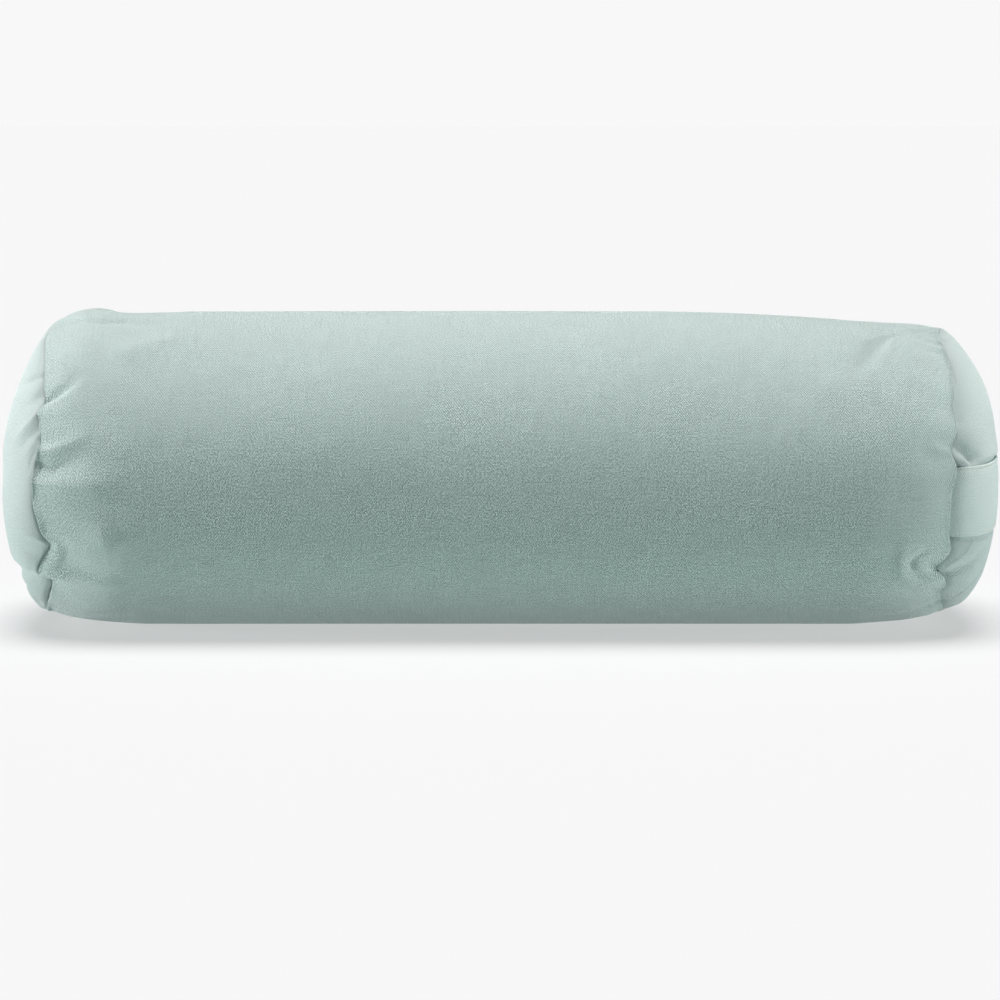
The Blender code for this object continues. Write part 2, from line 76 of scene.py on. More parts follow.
camera_data = bpy.data.cameras.new("front_camera")
camera_data.sensor_width = SENSOR_WIDTH
camera_data.lens = SENSOR_WIDTH * CAMERA_DISTANCE / FRAME_SPAN
camera = add_object("front_camera", camera_data)
camera.location = (
    CAMERA_TARGET[0],
    CAMERA_TARGET[1] - CAMERA_DISTANCE * math.cos(CAMERA_ELEVATION),
    CAMERA_TARGET[2] + CAMERA_DISTANCE * math.sin(CAMERA_ELEVATION),
)
camera.rotation_euler = (math.pi / 2 - CAMERA_ELEVATION, 0.0, 0.0)
bpy.context.scene.camera = camera
bpy.context.scene.view_settings.view_transform = "Standard"


# The light
# A wide overhead softbox, a softbox at each side and a little light from all round.
# Each is given as the share of full level that it puts on a surface facing it.
def add_softbox(name, level, azimuth, elevation, spread, colour):
    """A distant soft lamp in the direction given, in degrees; azimuth 0 is the front and 90 the right."""
    data = bpy.data.lights.new(name, "SUN")
    data.energy = level * math.pi
    data.angle = math.radians(spread)
    data.color = colour
    lamp = add_object(name, data)
    lamp.rotation_euler = (math.radians(90 - elevation), 0.0, math.radians(azimuth))


add_softbox("overhead_light", 1.19, 180, 88, 40, (1.0, 0.945, 0.955))
add_softbox("left_light", 0.90, -90, 4.5, 9, (1.0, 0.955, 0.965))
add_softbox("right_light", 0.57, 88, 5, 12, (1.0, 0.98, 0.98))
AMBIENT_COLOUR = (0.70, 1.0, 0.94)
AMBIENT_LEVEL = 0.03


def add_node(tree, kind, inputs=None, **settings):
    """A shader node with its settings and inputs; an input is a value or another node's socket."""
    node = tree.nodes.new(kind)
    for key, value in settings.items():
        setattr(node, key, value)
    for key, value in (inputs or {}).items():
        if isinstance(value, bpy.types.NodeSocket):
            tree.links.new(value, node.inputs[key])
        else:
            node.inputs[key].default_value = value
    return node


def compute(tree, operation, first, second=0.0, third=0.0):
    """The output of one Math node."""
    node = add_node(tree, "ShaderNodeMath", {0: first, 1: second, 2: third}, operation=operation)
    return node.outputs[0]


def seen_directly(tree):
    """1 for rays from the camera, reflected rays and rays that pass through a piece, 0 for others."""
    path = add_node(tree, "ShaderNodeLightPath")
    mirrored = compute(tree, "MAXIMUM", path.outputs["Is Glossy Ray"], path.outputs["Is Transmission Ray"])
    return compute(tree, "MAXIMUM", path.outputs["Is Camera Ray"], mirrored)


BACKDROP = (0.939, 0.939, 0.939, 1.0)
world = bpy.data.worlds.new("studio")
world.use_nodes = True
bpy.context.scene.world = world
tree = world.node_tree
tree.nodes.clear()
around = add_node(tree, "ShaderNodeBackground", {"Color": (*AMBIENT_COLOUR, 1.0), "Strength": AMBIENT_LEVEL})
plain = add_node(tree, "ShaderNodeBackground", {"Color": BACKDROP, "Strength": 1.0})
shares = {0: seen_directly(tree), 1: around.outputs[0], 2: plain.outputs[0]}
mixed = add_node(tree, "ShaderNodeMixShader", shares)
add_node(tree, "ShaderNodeOutputWorld", {"Surface": mixed.outputs[0]})


# The floor
# One plain pale sheet, which takes the bolster's shadow. The camera sees it nearly white, and the
# bolster gets a cooler light back from it. A share of it glows in both cases, which softens the shadow.
FLOOR_HALF = 30.0
FLOOR_DROP = 0.0003
FLOOR_SEEN = (0.700, 0.728, 0.728)
FLOOR_SEEN_GLOW = 0.50
FLOOR_BOUNCE = (0.45, 0.57, 0.55)
FLOOR_GLOW = 0.38

floor_mesh = bpy.data.meshes.new("floor")
floor_mesh.from_pydata(
    [(x * FLOOR_HALF, y * FLOOR_HALF, -FLOOR_DROP) for x, y in ((-1, -1), (1, -1), (1, 1), (-1, 1))],
    [], [(0, 1, 2, 3)],
)
floor = add_object("floor", floor_mesh)
floor_finish = bpy.data.materials.new("pale_floor")
floor_finish.use_nodes = True
tree = floor_finish.node_tree
tree.nodes.clear()
shade = add_node(tree, "ShaderNodeMix", {"Factor": seen_directly(tree)}, data_type="RGBA")
shade.inputs["A"].default_value = (*FLOOR_BOUNCE, 1.0)
shade.inputs["B"].default_value = (*FLOOR_SEEN, 1.0)
matte = add_node(tree, "ShaderNodeBsdfDiffuse", {"Color": shade.outputs["Result"]})
glow = add_node(tree, "ShaderNodeEmission", {"Color": BACKDROP, "Strength": 1.0})
glow_share = compute(tree, "MULTIPLY_ADD", seen_directly(tree), FLOOR_SEEN_GLOW - FLOOR_GLOW, FLOOR_GLOW)
surface = add_node(tree, "ShaderNodeMixShader", {0: glow_share, 1: matte.outputs[0], 2: glow.outputs[0]})
add_node(tree, "ShaderNodeOutputMaterial", {"Surface": surface.outputs[0]})
floor_mesh.materials.append(floor_finish)


# The stuffed form
# The filling's shape, which every layer of cloth follows: a tube that draws in towards two end seams,
# and an end panel that swells beyond each seam. It is one function of a place along it and an angle.
SEAM_X = 0.289
BODY_WIDTH = 0.222
BODY_HEIGHT = 0.203
WIDEST_HEIGHT = 0.096
FLOOR_CUT = 0.0005
UPPER_POWER = 2.0
LOWER_POWER = 2.4
TAPER_LENGTH = 0.065
TAPER_SIDE = 0.0135
TAPER_BOTTOM = 0.0100
SHOULDER_FALL = 0.006
SHOULDER_LENGTH = 0.030
SLOPE_FALL = 0.011
SLOPE_LENGTH = 0.200
CROWN_LEFT = 0.0355
CROWN_RIGHT = 0.0365
POWER_LEFT = 0.65
POWER_LEFT_RISE = 0.20
POWER_RIGHT = 0.565
POWER_RIGHT_RISE = 0.115
PANEL_REACH = 0.112
MEAN_RADIUS = 0.104


def near_seam(x, length):
    """1 at an end seam, easing as a square to 0 at a length from it."""
    return np.clip(1 - (SEAM_X - np.abs(x)) / length, 0, 1) ** 2


def outline(x, angle):
    """Y and Z of the section at x: half an ellipse above the widest line and a squarer half below it.

    Angle 0 is the front, a quarter turn the top and half a turn the zip. The radius at an angle is
    ((cos / side) ** power + (sin / height) ** power) ** (-1 / power).
    """
    side = BODY_WIDTH / 2 - TAPER_SIDE * near_seam(x, TAPER_LENGTH)
    shoulder = SHOULDER_FALL * near_seam(x, SHOULDER_LENGTH)
    slope = SLOPE_FALL * near_seam(x, SLOPE_LENGTH)
    fall = np.where(x < 0, shoulder, slope)
    above = BODY_HEIGHT - WIDEST_HEIGHT - fall
    below = WIDEST_HEIGHT + FLOOR_CUT - TAPER_BOTTOM * near_seam(x, TAPER_LENGTH)
    rise = np.sin(angle)
    tall = np.where(rise >= 0, above, below)
    power = np.where(rise >= 0, UPPER_POWER, LOWER_POWER)
    radius = ((np.abs(np.cos(angle)) / side) ** power + (np.abs(rise) / tall) ** power) ** (-1 / power)
    return -radius * np.cos(angle), np.maximum(WIDEST_HEIGHT + radius * rise, 0.0)


def round_keys(angle, keys):
    """A value in metres round the form, through keys of (degrees, millimetres), which close on themselves.

    Between two keys it is the cubic whose slope at each key is that from the key before to the one after.
    """
    degrees = np.mod(np.degrees(angle) + 180, 360) - 180
    places = np.array([key[0] for key in keys], float)
    values = np.array([key[1] for key in keys], float) / 1000
    places = np.concatenate([places[-2:] - 360, places, places[:2] + 360])
    values = np.concatenate([values[-2:], values, values[:2]])
    slopes = np.gradient(values, places)
    after = np.clip(np.searchsorted(places, degrees, side="right"), 1, len(places) - 1)
    span = places[after] - places[after - 1]
    t = (degrees - places[after - 1]) / span
    start, end = values[after - 1], values[after]
    lean_in, lean_out = slopes[after - 1] * span, slopes[after] * span
    return ((2 * t ** 3 - 3 * t ** 2 + 1) * start + (t ** 3 - 2 * t ** 2 + t) * lean_in
            + (3 * t ** 2 - 2 * t ** 3) * end + (t ** 3 - t ** 2) * lean_out)


# How far each end seam wanders outwards, as the gathers pull it: (degrees from the front over the top,
# millimetres). The pull fades out over SEAM_PULL to both sides of the seam.
LEFT_SEAM = (
    (-172, 1.5), (-160, -1.0), (-146, 2.0), (-133, -1.5), (-118, 1.0), (-104, -0.5), (-90, 1.5), (-75, 3.0),
    (-59, 3.0), (-46, -1.3), (-37, -3.8), (-35, -2.4), (-33, 2.8), (-30, 2.8), (-24, -2.2), (-20, -5.3),
    (-16, -0.7), (-10.5, 2.4), (-3.5, 4.6), (2, 4.0), (5.5, 4.4), (8, 2.7), (12, 2.1), (17, 0.4), (22, 0.3),
    (26, 0.9), (29.5, 1.9), (34, -2.4), (40, -0.7), (45, -0.9), (52, 0.2), (57, 0.6), (63, 1.8), (78, 0.6),
    (94, -0.4), (108, 1.2), (121, -1.2), (137, 1.4), (149, -0.8), (163, 1.0), (176, -0.6),
)
RIGHT_SEAM = (
    (-170, 1.0), (-157, -1.6), (-141, 0.8), (-128, -1.0), (-114, 0.8), (-99, 0.5), (-80, -0.5), (-62, -2.0),
    (-51, -5.0), (-44, -7.0), (-40, -4.4), (-35.5, -5.7), (-31, -11.2), (-29.5, -11.0), (-27, -7.7),
    (-24, -4.5), (-16, -5.0), (-1, -4.1), (10, -1.4), (15, -5.0), (19, -2.8), (23, -0.6), (26, -0.6),
    (31, -2.1), (37, -1.1), (43, -0.7), (49, -0.8), (53, -1.7), (59, -3.4), (67, -4.7), (77, -4.1),
    (95, 0.0), (109, -1.6), (124, 1.2), (138, -1.2), (152, 1.5), (166, -1.0), (178, 1.2),
)
SEAM_PULL = 0.022


def panel_turn(along):
    """How far over an end panel a place lies: 0 at the seam, a quarter turn at the pole."""
    return np.clip((np.abs(along) - SEAM_X) / PANEL_REACH, 0, 1) * math.pi / 2


def bare_form(along, angle):
    """Points of the form without folds.

    Along is x between the seams. Past a seam it is the way walked over the end panel: at a share t of
    the way to the pole, the ring shrinks to cos(t * 90 degrees) and swells out to the crown times
    sin(t * 90 degrees) ** (2 * power). The power rises from the underside to the top.
    """
    x = np.clip(along, -SEAM_X, SEAM_X)
    y, z = outline(x, angle)
    turn = panel_turn(along)
    rise = np.sin(angle)
    power = np.where(along < 0, POWER_LEFT + POWER_LEFT_RISE * rise, POWER_RIGHT + POWER_RIGHT_RISE * rise)
    crown = np.where(along < 0, CROWN_LEFT, CROWN_RIGHT)
    wander = np.where(along < 0, round_keys(angle, LEFT_SEAM), round_keys(angle, RIGHT_SEAM))
    wander = wander * np.exp(-((np.abs(along) - SEAM_X) / SEAM_PULL) ** 2)
    x = x + np.sign(along) * (crown * np.sin(turn) ** (2 * power) + wander)
    return np.stack([x, y * np.cos(turn), WIDEST_HEIGHT + (z - WIDEST_HEIGHT) * np.cos(turn)], -1)


def unit(vectors):
    """The vectors at length 1."""
    return vectors / np.linalg.norm(vectors, axis=-1, keepdims=True)


SLOPE_STEP = 0.0008
SLOPE_TURN = 4 * SLOPE_STEP / MEAN_RADIUS
NEAR_POLE = SEAM_X + PANEL_REACH * 0.97


def outward(along, angle):
    """The form's outward direction: the cross product of its slopes along and round it.

    Beyond NEAR_POLE it is the direction there, as the slope round a pole is nothing.
    """
    along = np.clip(along, -NEAR_POLE, NEAR_POLE)
    slope_along = bare_form(along + SLOPE_STEP, angle) - bare_form(along - SLOPE_STEP, angle)
    slope_round = bare_form(along, angle + SLOPE_TURN) - bare_form(along, angle - SLOPE_TURN)
    return unit(np.cross(slope_along, slope_round))


# Folds and puckers
# Where the body is gathered on to an end panel the canvas folds. Each stroke is a run of knots, given as
# the distance from the seam in millimetres, the angle in degrees, the half width and the height in
# millimetres. A distance below 0 lies on the end panel, and a height below 0 is a valley.
LEFT_FOLDS = (
    ((1, 34, 2, -1.5), (8, 35.5, 2.4, -1.9), (15.5, 37.5, 3.2, -1.6), (22.5, 41, 5, -0.9), (30, 45, 6, 0)),
    ((1.5, 32, 1.8, 0.8), (10, 33, 2.2, 0.8), (17.5, 35.5, 3, 0.6), (24.5, 38.5, 4, 0.3), (31, 42, 6, 0)),
    ((0, 15, 2.6, 1.2), (10.5, 15, 3, 1.5), (22, 17, 4, 1.1), (34, 20.5, 6, 0)),
    ((1, 10, 3.8, -2.4), (12, 9, 4, -2.8), (22.5, 11, 4.4, -2.2), (36, 13, 6, 0)),
    ((2, 3, 4, 1.8), (15.5, 2.5, 5.5, 2.8), (36, 2.5, 7, 2.5), (58, 5, 10, 0)),
    ((7, -11, 6, -1.2), (23, -11, 6, -0.8), (32, -10, 6, 0)),
    ((26, -15, 7, 0), (41, -14, 6, 1.9), (47, -15, 7, 0)),
    ((3, -14.5, 1.8, -1), (10, -13, 3, 0)),
    ((0, -21.5, 3, -1.2), (1, -26, 3, -1.4), (1.5, -30.5, 2.5, -0.8)),
    ((5, -19.5, 3, 0.8), (8.5, -23, 3, 1), (8.5, -28.5, 3, 0.6)),
    ((1, -33.5, 1.8, 1.6), (10.5, -33, 2.4, 2.3), (24, -32, 3.2, 2.2), (40, -32, 4.5, 1.3),
     (58, -32.5, 7, 0)),
    ((8, -28, 2.5, -0.8), (24, -27, 4, -1), (42, -26, 6, 0)),
    ((0, -37, 1.4, -1), (6.5, -35.5, 1.8, -0.8), (12.5, -35, 2.5, 0)),
    ((5, 81.5, 3, -1.4), (19, 74.5, 3.4, -2.2), (32, 72, 3.6, -2.4), (44, 73, 4.4, -2.6),
     (56, 71.5, 6, -1.8), (72, 68, 7, 0)),
    ((38, 49, 8, 0), (50, 51.5, 9, 1.6), (64, 55, 9, 0.9), (76, 58.5, 9, 1.5), (94, 60, 10, 0)),
    ((2, 97, 9, 0.6), (14, 97, 11, 1.3), (26, 98, 12, 1.3), (37, 99, 12, 0)),
    ((34, 96, 9, 0), (47, 95, 10, -3.2), (60, 96, 12, -2.0), (84, 97, 14, 0)),
    ((-0.5, 29, 2, 1.2), (-31.5, 26.5, 3, 1.2), (-58, 23, 4, 0.2)),
    ((-6, 24, 3, -1.8), (-30, 21, 3, -1.4), (-47.5, 16.5, 4, 0)),
    ((-7, 20.5, 1.4, 0.9), (-30, 14.5, 2.2, 0.5), (-46, 10.5, 4, 0)),
    ((-11, 15, 2, -1.2), (-20, 11, 2.4, -1.2), (-21, 5.5, 3, 0)),
    ((-4, 44.5, 1.8, -1.4), (-33, 48, 2.4, -1.2), (-56, 58, 3, 0)),
    ((-5, 53.5, 1.5, -1.1), (-28.5, 53.5, 2.2, 0)),
    ((-12, 36.5, 3.5, -0.9), (-32, 36.5, 4, -0.7), (-50, 37, 5, 0)),
    ((-40, -18.5, 3, 0.6), (-16, -17.5, 2.4, 1.3), (-5.5, -19.5, 1.5, 1.3)),
    ((-9, -25, 3, -0.9), (-30.5, -25, 5, -0.8), (-50, -27, 6, 0)),
    ((-57, -60, 7, -3.0), (-44.5, -43.5, 5, -2.6), (-12, -32, 4, -1.4), (-1.5, -33.5, 3, 0)),
    ((-54, -100, 12, -3), (-50, -70, 10, -4.5), (-44, -53, 7, -4.5), (-28, -56, 8, -4), (-14, -60, 8, -2.5),
     (-4, -62, 6, 0)),
)
RIGHT_FOLDS = (
    ((0.5, 80, 2.4, -2), (20, 78.5, 4, -3), (42, 69.5, 6, -2.8), (53, 59, 7.5, -2.5), (63, 48, 9, -1.5),
     (75, 39, 11, 0)),
    ((0.5, 74.5, 1.6, 0.8), (20, 71.5, 2.8, 1.4), (33, 64, 4.5, 1.7), (42, 53, 6.5, 1.8), (52, 42, 8, 1.2),
     (64, 33, 10, 0)),
    ((0.5, 66.5, 1.6, -1.4), (11, 68.5, 2, -1.4), (22.5, 66, 3, 0)),
    ((0.5, 62, 1.5, 0.7), (11, 63, 2, 0.8), (23, 62.5, 3, 0)),
    ((0.5, 59, 1.6, -1.1), (11, 58.5, 2.2, -0.9), (21, 57.5, 3, 0)),
    ((2, 52.5, 6, -0.5), (2.5, 45, 6, -0.6), (2.5, 38, 6, 0)),
    ((2.5, 14.5, 3, 1.2), (10, 15, 4.5, 2.1), (22.5, 16, 6, 0)),
    ((17, -20.5, 2, -0.8), (26.5, -23, 1.8, -1.9), (27.5, -25.5, 1.8, -2.2), (20.5, -29, 2, -1.4),
     (12.5, -33, 3, -0.2)),
    ((33.5, -17.5, 4, 0.5), (36, -23, 4, 1.1), (33.5, -28.5, 4, 1.2), (25, -33.5, 4, 0.5)),
    ((20.5, -27, 3, 0.9), (9, -31.5, 3.5, 1.1), (4, -35.5, 3, 0.8)),
    ((22, -23.5, 2, -0.5), (11.5, -26, 2, -1), (0.5, -30, 1.8, -1.8)),
    ((8, -29.5, 1.8, -0.3), (0.5, -32.5, 1.8, -1.8)),
    ((38, -33, 1.5, 0), (25, -38, 1.6, -0.8), (2.5, -42.5, 1.6, -0.9)),
    ((-4, -34, 2.2, -1.8), (-20, -32, 3.2, -1.6), (-39, -29, 4, -0.8), (-60.5, -31.5, 5, 0)),
    ((-9.5, -30, 1.2, 0.5), (-14.5, -27, 1.4, 0.9), (-30.5, -17.5, 1.6, 0.7)),
    ((-10, -52.5, 1.4, -0.8), (-18.5, -49, 1.2, -1.3), (-38, -43.5, 1.2, -1.3), (-59, -51.5, 1.4, -0.4)),
    ((-5, 17, 2.2, -1.4), (-15.5, 15.5, 3.2, -3), (-22.5, 13, 3.6, -4), (-38, 13, 4, -0.4)),
    ((-8.5, 75.5, 1.3, -0.7), (-29.5, 86, 1.5, -0.6), (-39.5, 83, 2, 0)),
    ((-8.5, 71, 1.2, 0.5), (-27.5, 75, 1.4, 0.5), (-41.5, 82.5, 2, 0)),
    ((-11, 65.5, 1.2, -0.6), (-31, 74, 1.4, -0.4)),
    ((-4.5, 26, 4, -1), (-24, 29, 5, -0.6), (-43, 37, 6, 0)),
    ((-70, 50, 20, 1.6), (-70, 90, 22, 1.8), (-70, 130, 20, 1.2)),
)


BACK_FROM = 112
BACK_TO = 310
BACK_CLEAR = 9


def back_folds(seed, count):
    """Puckers for the sides that the photograph doesn't show, at uneven angles round the back.

    Ridges and valleys take turns, each with a part on the body and one on the end panel. None lies in
    line with the zip, within BACK_CLEAR degrees of half a turn.
    """
    rng = np.random.default_rng(seed)
    strokes = []
    for k in range(count):
        angle = BACK_FROM + (BACK_TO - BACK_FROM) * (k + rng.uniform(0.2, 0.8)) / count
        reach = rng.uniform(16, 58)
        lean = rng.uniform(-8, 8)
        width = rng.uniform(2.2, 4.4)
        height = width * rng.uniform(0.40, 0.66) * (1 if k % 2 else -1)
        if abs(angle - 180) > BACK_CLEAR:
            strokes.append((
                (1, angle, width, height),
                (reach / 2, angle + lean / 3, width * 1.2, height * 0.7),
                (reach, angle + lean, width * 1.7, 0),
            ))
            strokes.append((
                (-2, angle, width * 0.8, height * 0.6),
                (-reach * 0.7, angle - lean, width * 1.3, 0),
            ))
    return tuple(strokes)


LEFT_FOLDS += back_folds(seed=11, count=17)
RIGHT_FOLDS += back_folds(seed=23, count=17)


def fold_height(along, angle):
    """The sum of the strokes: height * exp(-(distance to its line / half width) ** 2) for each.

    Distances are measured on the cloth, along it and round it, to the nearest of the stroke's parts.
    Half width and height change evenly from one knot to the next.
    """
    from_seam = (SEAM_X - np.abs(along)) * 1000
    total = np.zeros(np.broadcast(along, angle).shape)
    ring = MEAN_RADIUS * 1000 * np.cos(panel_turn(along))
    for side, strokes in ((-1, LEFT_FOLDS), (1, RIGHT_FOLDS)):
        here = np.sign(along) == side
        for stroke in strokes:
            knots = np.array(stroke, float)
            middle = knots[:, 1].mean()
            arc = np.radians(np.mod(np.degrees(angle) - middle + 180, 360) - 180) * ring
            knot_ring = MEAN_RADIUS * 1000 * np.cos(panel_turn(SEAM_X - knots[:, 0] / 1000))
            knot_arc = np.radians(knots[:, 1] - middle) * knot_ring
            nearest = np.full(total.shape, np.inf)
            value = np.zeros(total.shape)
            for k in range(len(knots) - 1):
                way = knots[k + 1, 0] - knots[k, 0], knot_arc[k + 1] - knot_arc[k]
                off = from_seam - knots[k, 0], arc - knot_arc[k]
                share = np.clip((off[0] * way[0] + off[1] * way[1]) / (way[0] ** 2 + way[1] ** 2), 0, 1)
                width = knots[k, 2] + (knots[k + 1, 2] - knots[k, 2]) * share
                gap = np.hypot(off[0] - share * way[0], off[1] - share * way[1]) / width
                value = np.where(gap < nearest, knots[k, 3] + (knots[k + 1, 3] - knots[k, 3]) * share, value)
                nearest = np.minimum(gap, nearest)
            total += here * value / 1000 * np.exp(-nearest ** 2)
    return total


LUMP_SEED = 5
LUMP_WAVES = 9


def lump_height(along, angle):
    """The filling's slow unevenness: a few waves along and round the form, each at its own phase."""
    rng = np.random.default_rng(LUMP_SEED)
    total = np.zeros(np.broadcast(along, angle).shape)
    for _ in range(LUMP_WAVES):
        waves = rng.uniform(12, 42)
        turns = rng.integers(-5, 6)
        height = rng.uniform(0.00006, 0.00016)
        phase = rng.uniform(0, math.tau)
        total += height * np.sin(waves * along + turns * angle + phase)
    return total


# The strap lies flat across the right end panel, so the panel is smooth there. It is pressed in a
# little all along the strap, and drawn in further near its rim.
STRAP_HEIGHT = 0.089
STRAP_HALF = 0.0225
STRAP_CLEAR = 0.0035
STRAP_PRESS = 0.0014
STRAP_DRAW = 0.0020
STRAP_DRAW_TURN = 0.25


def ease(value, low, high):
    """0 below low and 1 above high, with an even start and end between them."""
    share = np.clip((value - low) / (high - low), 0, 1)
    return share * share * (3 - 2 * share)


def under_strap(along, height):
    """1 where the strap lies on the right end panel, easing to 0 beside it."""
    beside = ease(np.abs(height - STRAP_HEIGHT), STRAP_HALF, STRAP_HALF + STRAP_CLEAR)
    return np.where(along > SEAM_X, 1 - beside, 0)


def from_zip(angle):
    """How far round the form a place lies from the middle line of the zip."""
    return np.abs(np.mod(angle, math.tau) - math.pi) * MEAN_RADIUS


def strap_draw(along):
    """How far the strap presses the panel in: most at the rim, where both go under the body's edge."""
    return STRAP_PRESS + STRAP_DRAW * (1 - ease(panel_turn(along), 0.0, STRAP_DRAW_TURN))


SEAM_RIDGE = 0.0004
SEAM_RIDGE_HALF = 0.0018
FOLDS_OFF_FLOOR = (0.0, 0.012)
FOLDS_OFF_ZIP = (0.012, 0.024)


def folded_form(along, angle):
    """The form with its folds and lumps, kept off the floor, clear of the zip and flat under the strap.

    The turned-in cloth lifts the body's edge: ridge * exp(-(distance to the seam / half width) ** 2).
    """
    ridge = SEAM_RIDGE * np.exp(-((np.abs(along) - SEAM_X) / SEAM_RIDGE_HALF) ** 2)
    ridge = ridge * (np.abs(along) <= SEAM_X)
    lift = fold_height(along, angle) + lump_height(along, angle) + ridge
    points = bare_form(along, angle)
    seat = under_strap(along, points[..., 2])
    lift = lift * ease(points[..., 2], *FOLDS_OFF_FLOOR) * (1 - seat) - strap_draw(along) * seat
    off_zip = np.where(np.abs(along) > SEAM_X, 1.0, ease(from_zip(angle), *FOLDS_OFF_ZIP))
    return points + outward(along, angle) * (lift * off_zip)[..., None]


# The cloth, relaxed
# The canvas is a little too big for its seams there, and the filling presses it out, so it puckers.
# Blender's cloth works that out on a coarse net, and every layer takes its movement from the net.
NET_COLUMNS = 144
NET_STEP = 0.0045
NET_MIDDLE_STEP = 0.009
NET_FINE_REACH = 0.11
NET_PANEL_RINGS = 24
SPARE_CLOTH_BODY = 0.030
SPARE_CLOTH_PANEL = 0.010
SPARE_REACH = 0.030
BODY_FREE = 0.05
BODY_EASE = 0.10
BODY_HOLD = 0.92
PANEL_FREE = 0.03
PANEL_EASE = 0.05
PANEL_HOLD = 0.6
AT_SEAM = 0.001
ON_FLOOR = 0.002
NUDGE = 0.0005
NUDGE_SEED = 3
LARGEST_MOVE = 0.005
MOVE_REACH = 0.075
MOVE_OFF_ZIP = (0.010, 0.030)
SEAM_STILL = 0.004
SMOOTHINGS = 3
CLOTH_FRAMES = 30
CLOTH_SETTINGS = dict(
    quality=7, mass=0.2, tension_stiffness=30, compression_stiffness=30, shear_stiffness=10,
    bending_stiffness=3.0, tension_damping=20, compression_damping=20, shear_damping=10, bending_damping=2,
    air_damping=2, use_pressure=True, uniform_pressure_force=4.0,
    shrink_min=-SPARE_CLOTH_BODY, shrink_max=0.0,
)

half = [0.0]
while half[-1] < SEAM_X:
    half.append(half[-1] + (NET_STEP if SEAM_X - half[-1] < NET_FINE_REACH else NET_MIDDLE_STEP))
half = np.array(half) * SEAM_X / half[-1]
over_panel = SEAM_X + PANEL_REACH * np.linspace(0, 0.96, NET_PANEL_RINGS)[1:]
half = np.concatenate([half, over_panel])
net_along = np.concatenate([-half[:0:-1], half])
net_angle = np.arange(NET_COLUMNS) * math.tau / NET_COLUMNS
net = folded_form(*np.meshgrid(net_along, net_angle, indexing="ij"))


def grid_faces(index):
    """The quads of a grid of point numbers, which look along the cross product of rows and columns."""
    return np.stack((index[:-1, :-1], index[1:, :-1], index[1:, 1:], index[:-1, 1:]), -1).reshape(-1, 4)


def relax(points):
    """Run the cloth on the net, from points[ring, column], and give how far each point moves.

    Spare cloth is exp(-(distance from the seam / reach) ** 2) times its largest share, and the cloth is
    held at the seams and on the floor, and more and more away from the seams.
    """
    rows, columns = points.shape[:2]
    poles = [[-SEAM_X - CROWN_LEFT, 0, WIDEST_HEIGHT], [SEAM_X + CROWN_RIGHT, 0, WIDEST_HEIGHT]]
    rng = np.random.default_rng(NUDGE_SEED)
    nudge = rng.normal(0, NUDGE, points.shape)
    start = np.concatenate([points.reshape(-1, 3), poles])
    index = np.arange(rows * columns).reshape(rows, columns)
    faces = grid_faces(np.concatenate([index, index[:, :1]], 1)).tolist()
    first = np.arange(columns)
    last = first + (rows - 1) * columns
    faces += np.stack([first, np.roll(first, -1), np.full(columns, rows * columns)], -1).tolist()
    faces += np.stack([np.roll(last, -1), last, np.full(columns, rows * columns + 1)], -1).tolist()
    mesh = bpy.data.meshes.new("net")
    mesh.from_pydata(start.tolist(), [], faces)
    piece = add_object("net", mesh)
    spare = piece.vertex_groups.new(name="spare")
    held = piece.vertex_groups.new(name="held")
    for ring, along in enumerate(net_along):
        inside = SEAM_X - abs(along)
        if inside >= 0:
            extra = SPARE_CLOTH_BODY * math.exp(-(inside / SPARE_REACH) ** 2)
            hold = min(max((inside - BODY_FREE) / BODY_EASE, 0.0), 1.0) * BODY_HOLD
        else:
            extra = SPARE_CLOTH_PANEL * math.exp(-(inside / SPARE_REACH) ** 2)
            hold = min(max((-inside - PANEL_FREE) / PANEL_EASE, 0.0), 1.0) * PANEL_HOLD
        hold = 1.0 if abs(inside) < AT_SEAM else hold
        members = [int(k) for k in range(ring * columns, (ring + 1) * columns)]
        spare.add(members, 1 - extra / SPARE_CLOTH_BODY, "REPLACE")
        held.add(members, hold, "REPLACE")
    low = np.nonzero(start[:, 2] < ON_FLOOR)[0]
    held.add([int(k) for k in low], 1.0, "REPLACE")
    held.add([rows * columns, rows * columns + 1], PANEL_HOLD, "REPLACE")
    cloth = piece.modifiers.new("cloth", "CLOTH")
    for key, value in CLOTH_SETTINGS.items():
        setattr(cloth.settings, key, value)
    cloth.settings.vertex_group_mass = "held"
    cloth.settings.vertex_group_shrink = "spare"
    cloth.settings.effector_weights.gravity = 0
    cloth.collision_settings.use_collision = False
    cloth.point_cache.frame_start = 1
    cloth.point_cache.frame_end = CLOTH_FRAMES
    nudged = start.copy()
    nudged[:-2] += nudge.reshape(-1, 3)
    mesh.vertices.foreach_set("co", nudged.ravel())
    for step in range(1, CLOTH_FRAMES + 1):
        bpy.context.scene.frame_set(step)
    posed = piece.evaluated_get(bpy.context.evaluated_depsgraph_get())
    result = np.empty(len(start) * 3, np.float32)
    posed.data.vertices.foreach_get("co", result)
    bpy.data.objects.remove(piece)
    bpy.context.scene.frame_set(1)
    move = result.reshape(-1, 3)[:-2].reshape(points.shape) - points
    for _ in range(SMOOTHINGS):
        move = move / 2 + (np.roll(move, 1, 1) + np.roll(move, -1, 1)) / 4
        move[1:-1] = move[1:-1] / 2 + (move[:-2] + move[2:]) / 4
    length = np.linalg.norm(move, axis=-1, keepdims=True)
    near = np.exp(-((SEAM_X - np.abs(net_along)) / MOVE_REACH) ** 2)[:, None, None]
    near = near * (1 - np.exp(-((SEAM_X - np.abs(net_along)) / SEAM_STILL) ** 2))[:, None, None]
    return near * move * LARGEST_MOVE * np.tanh(length / LARGEST_MOVE) / np.maximum(length, 1e-9)


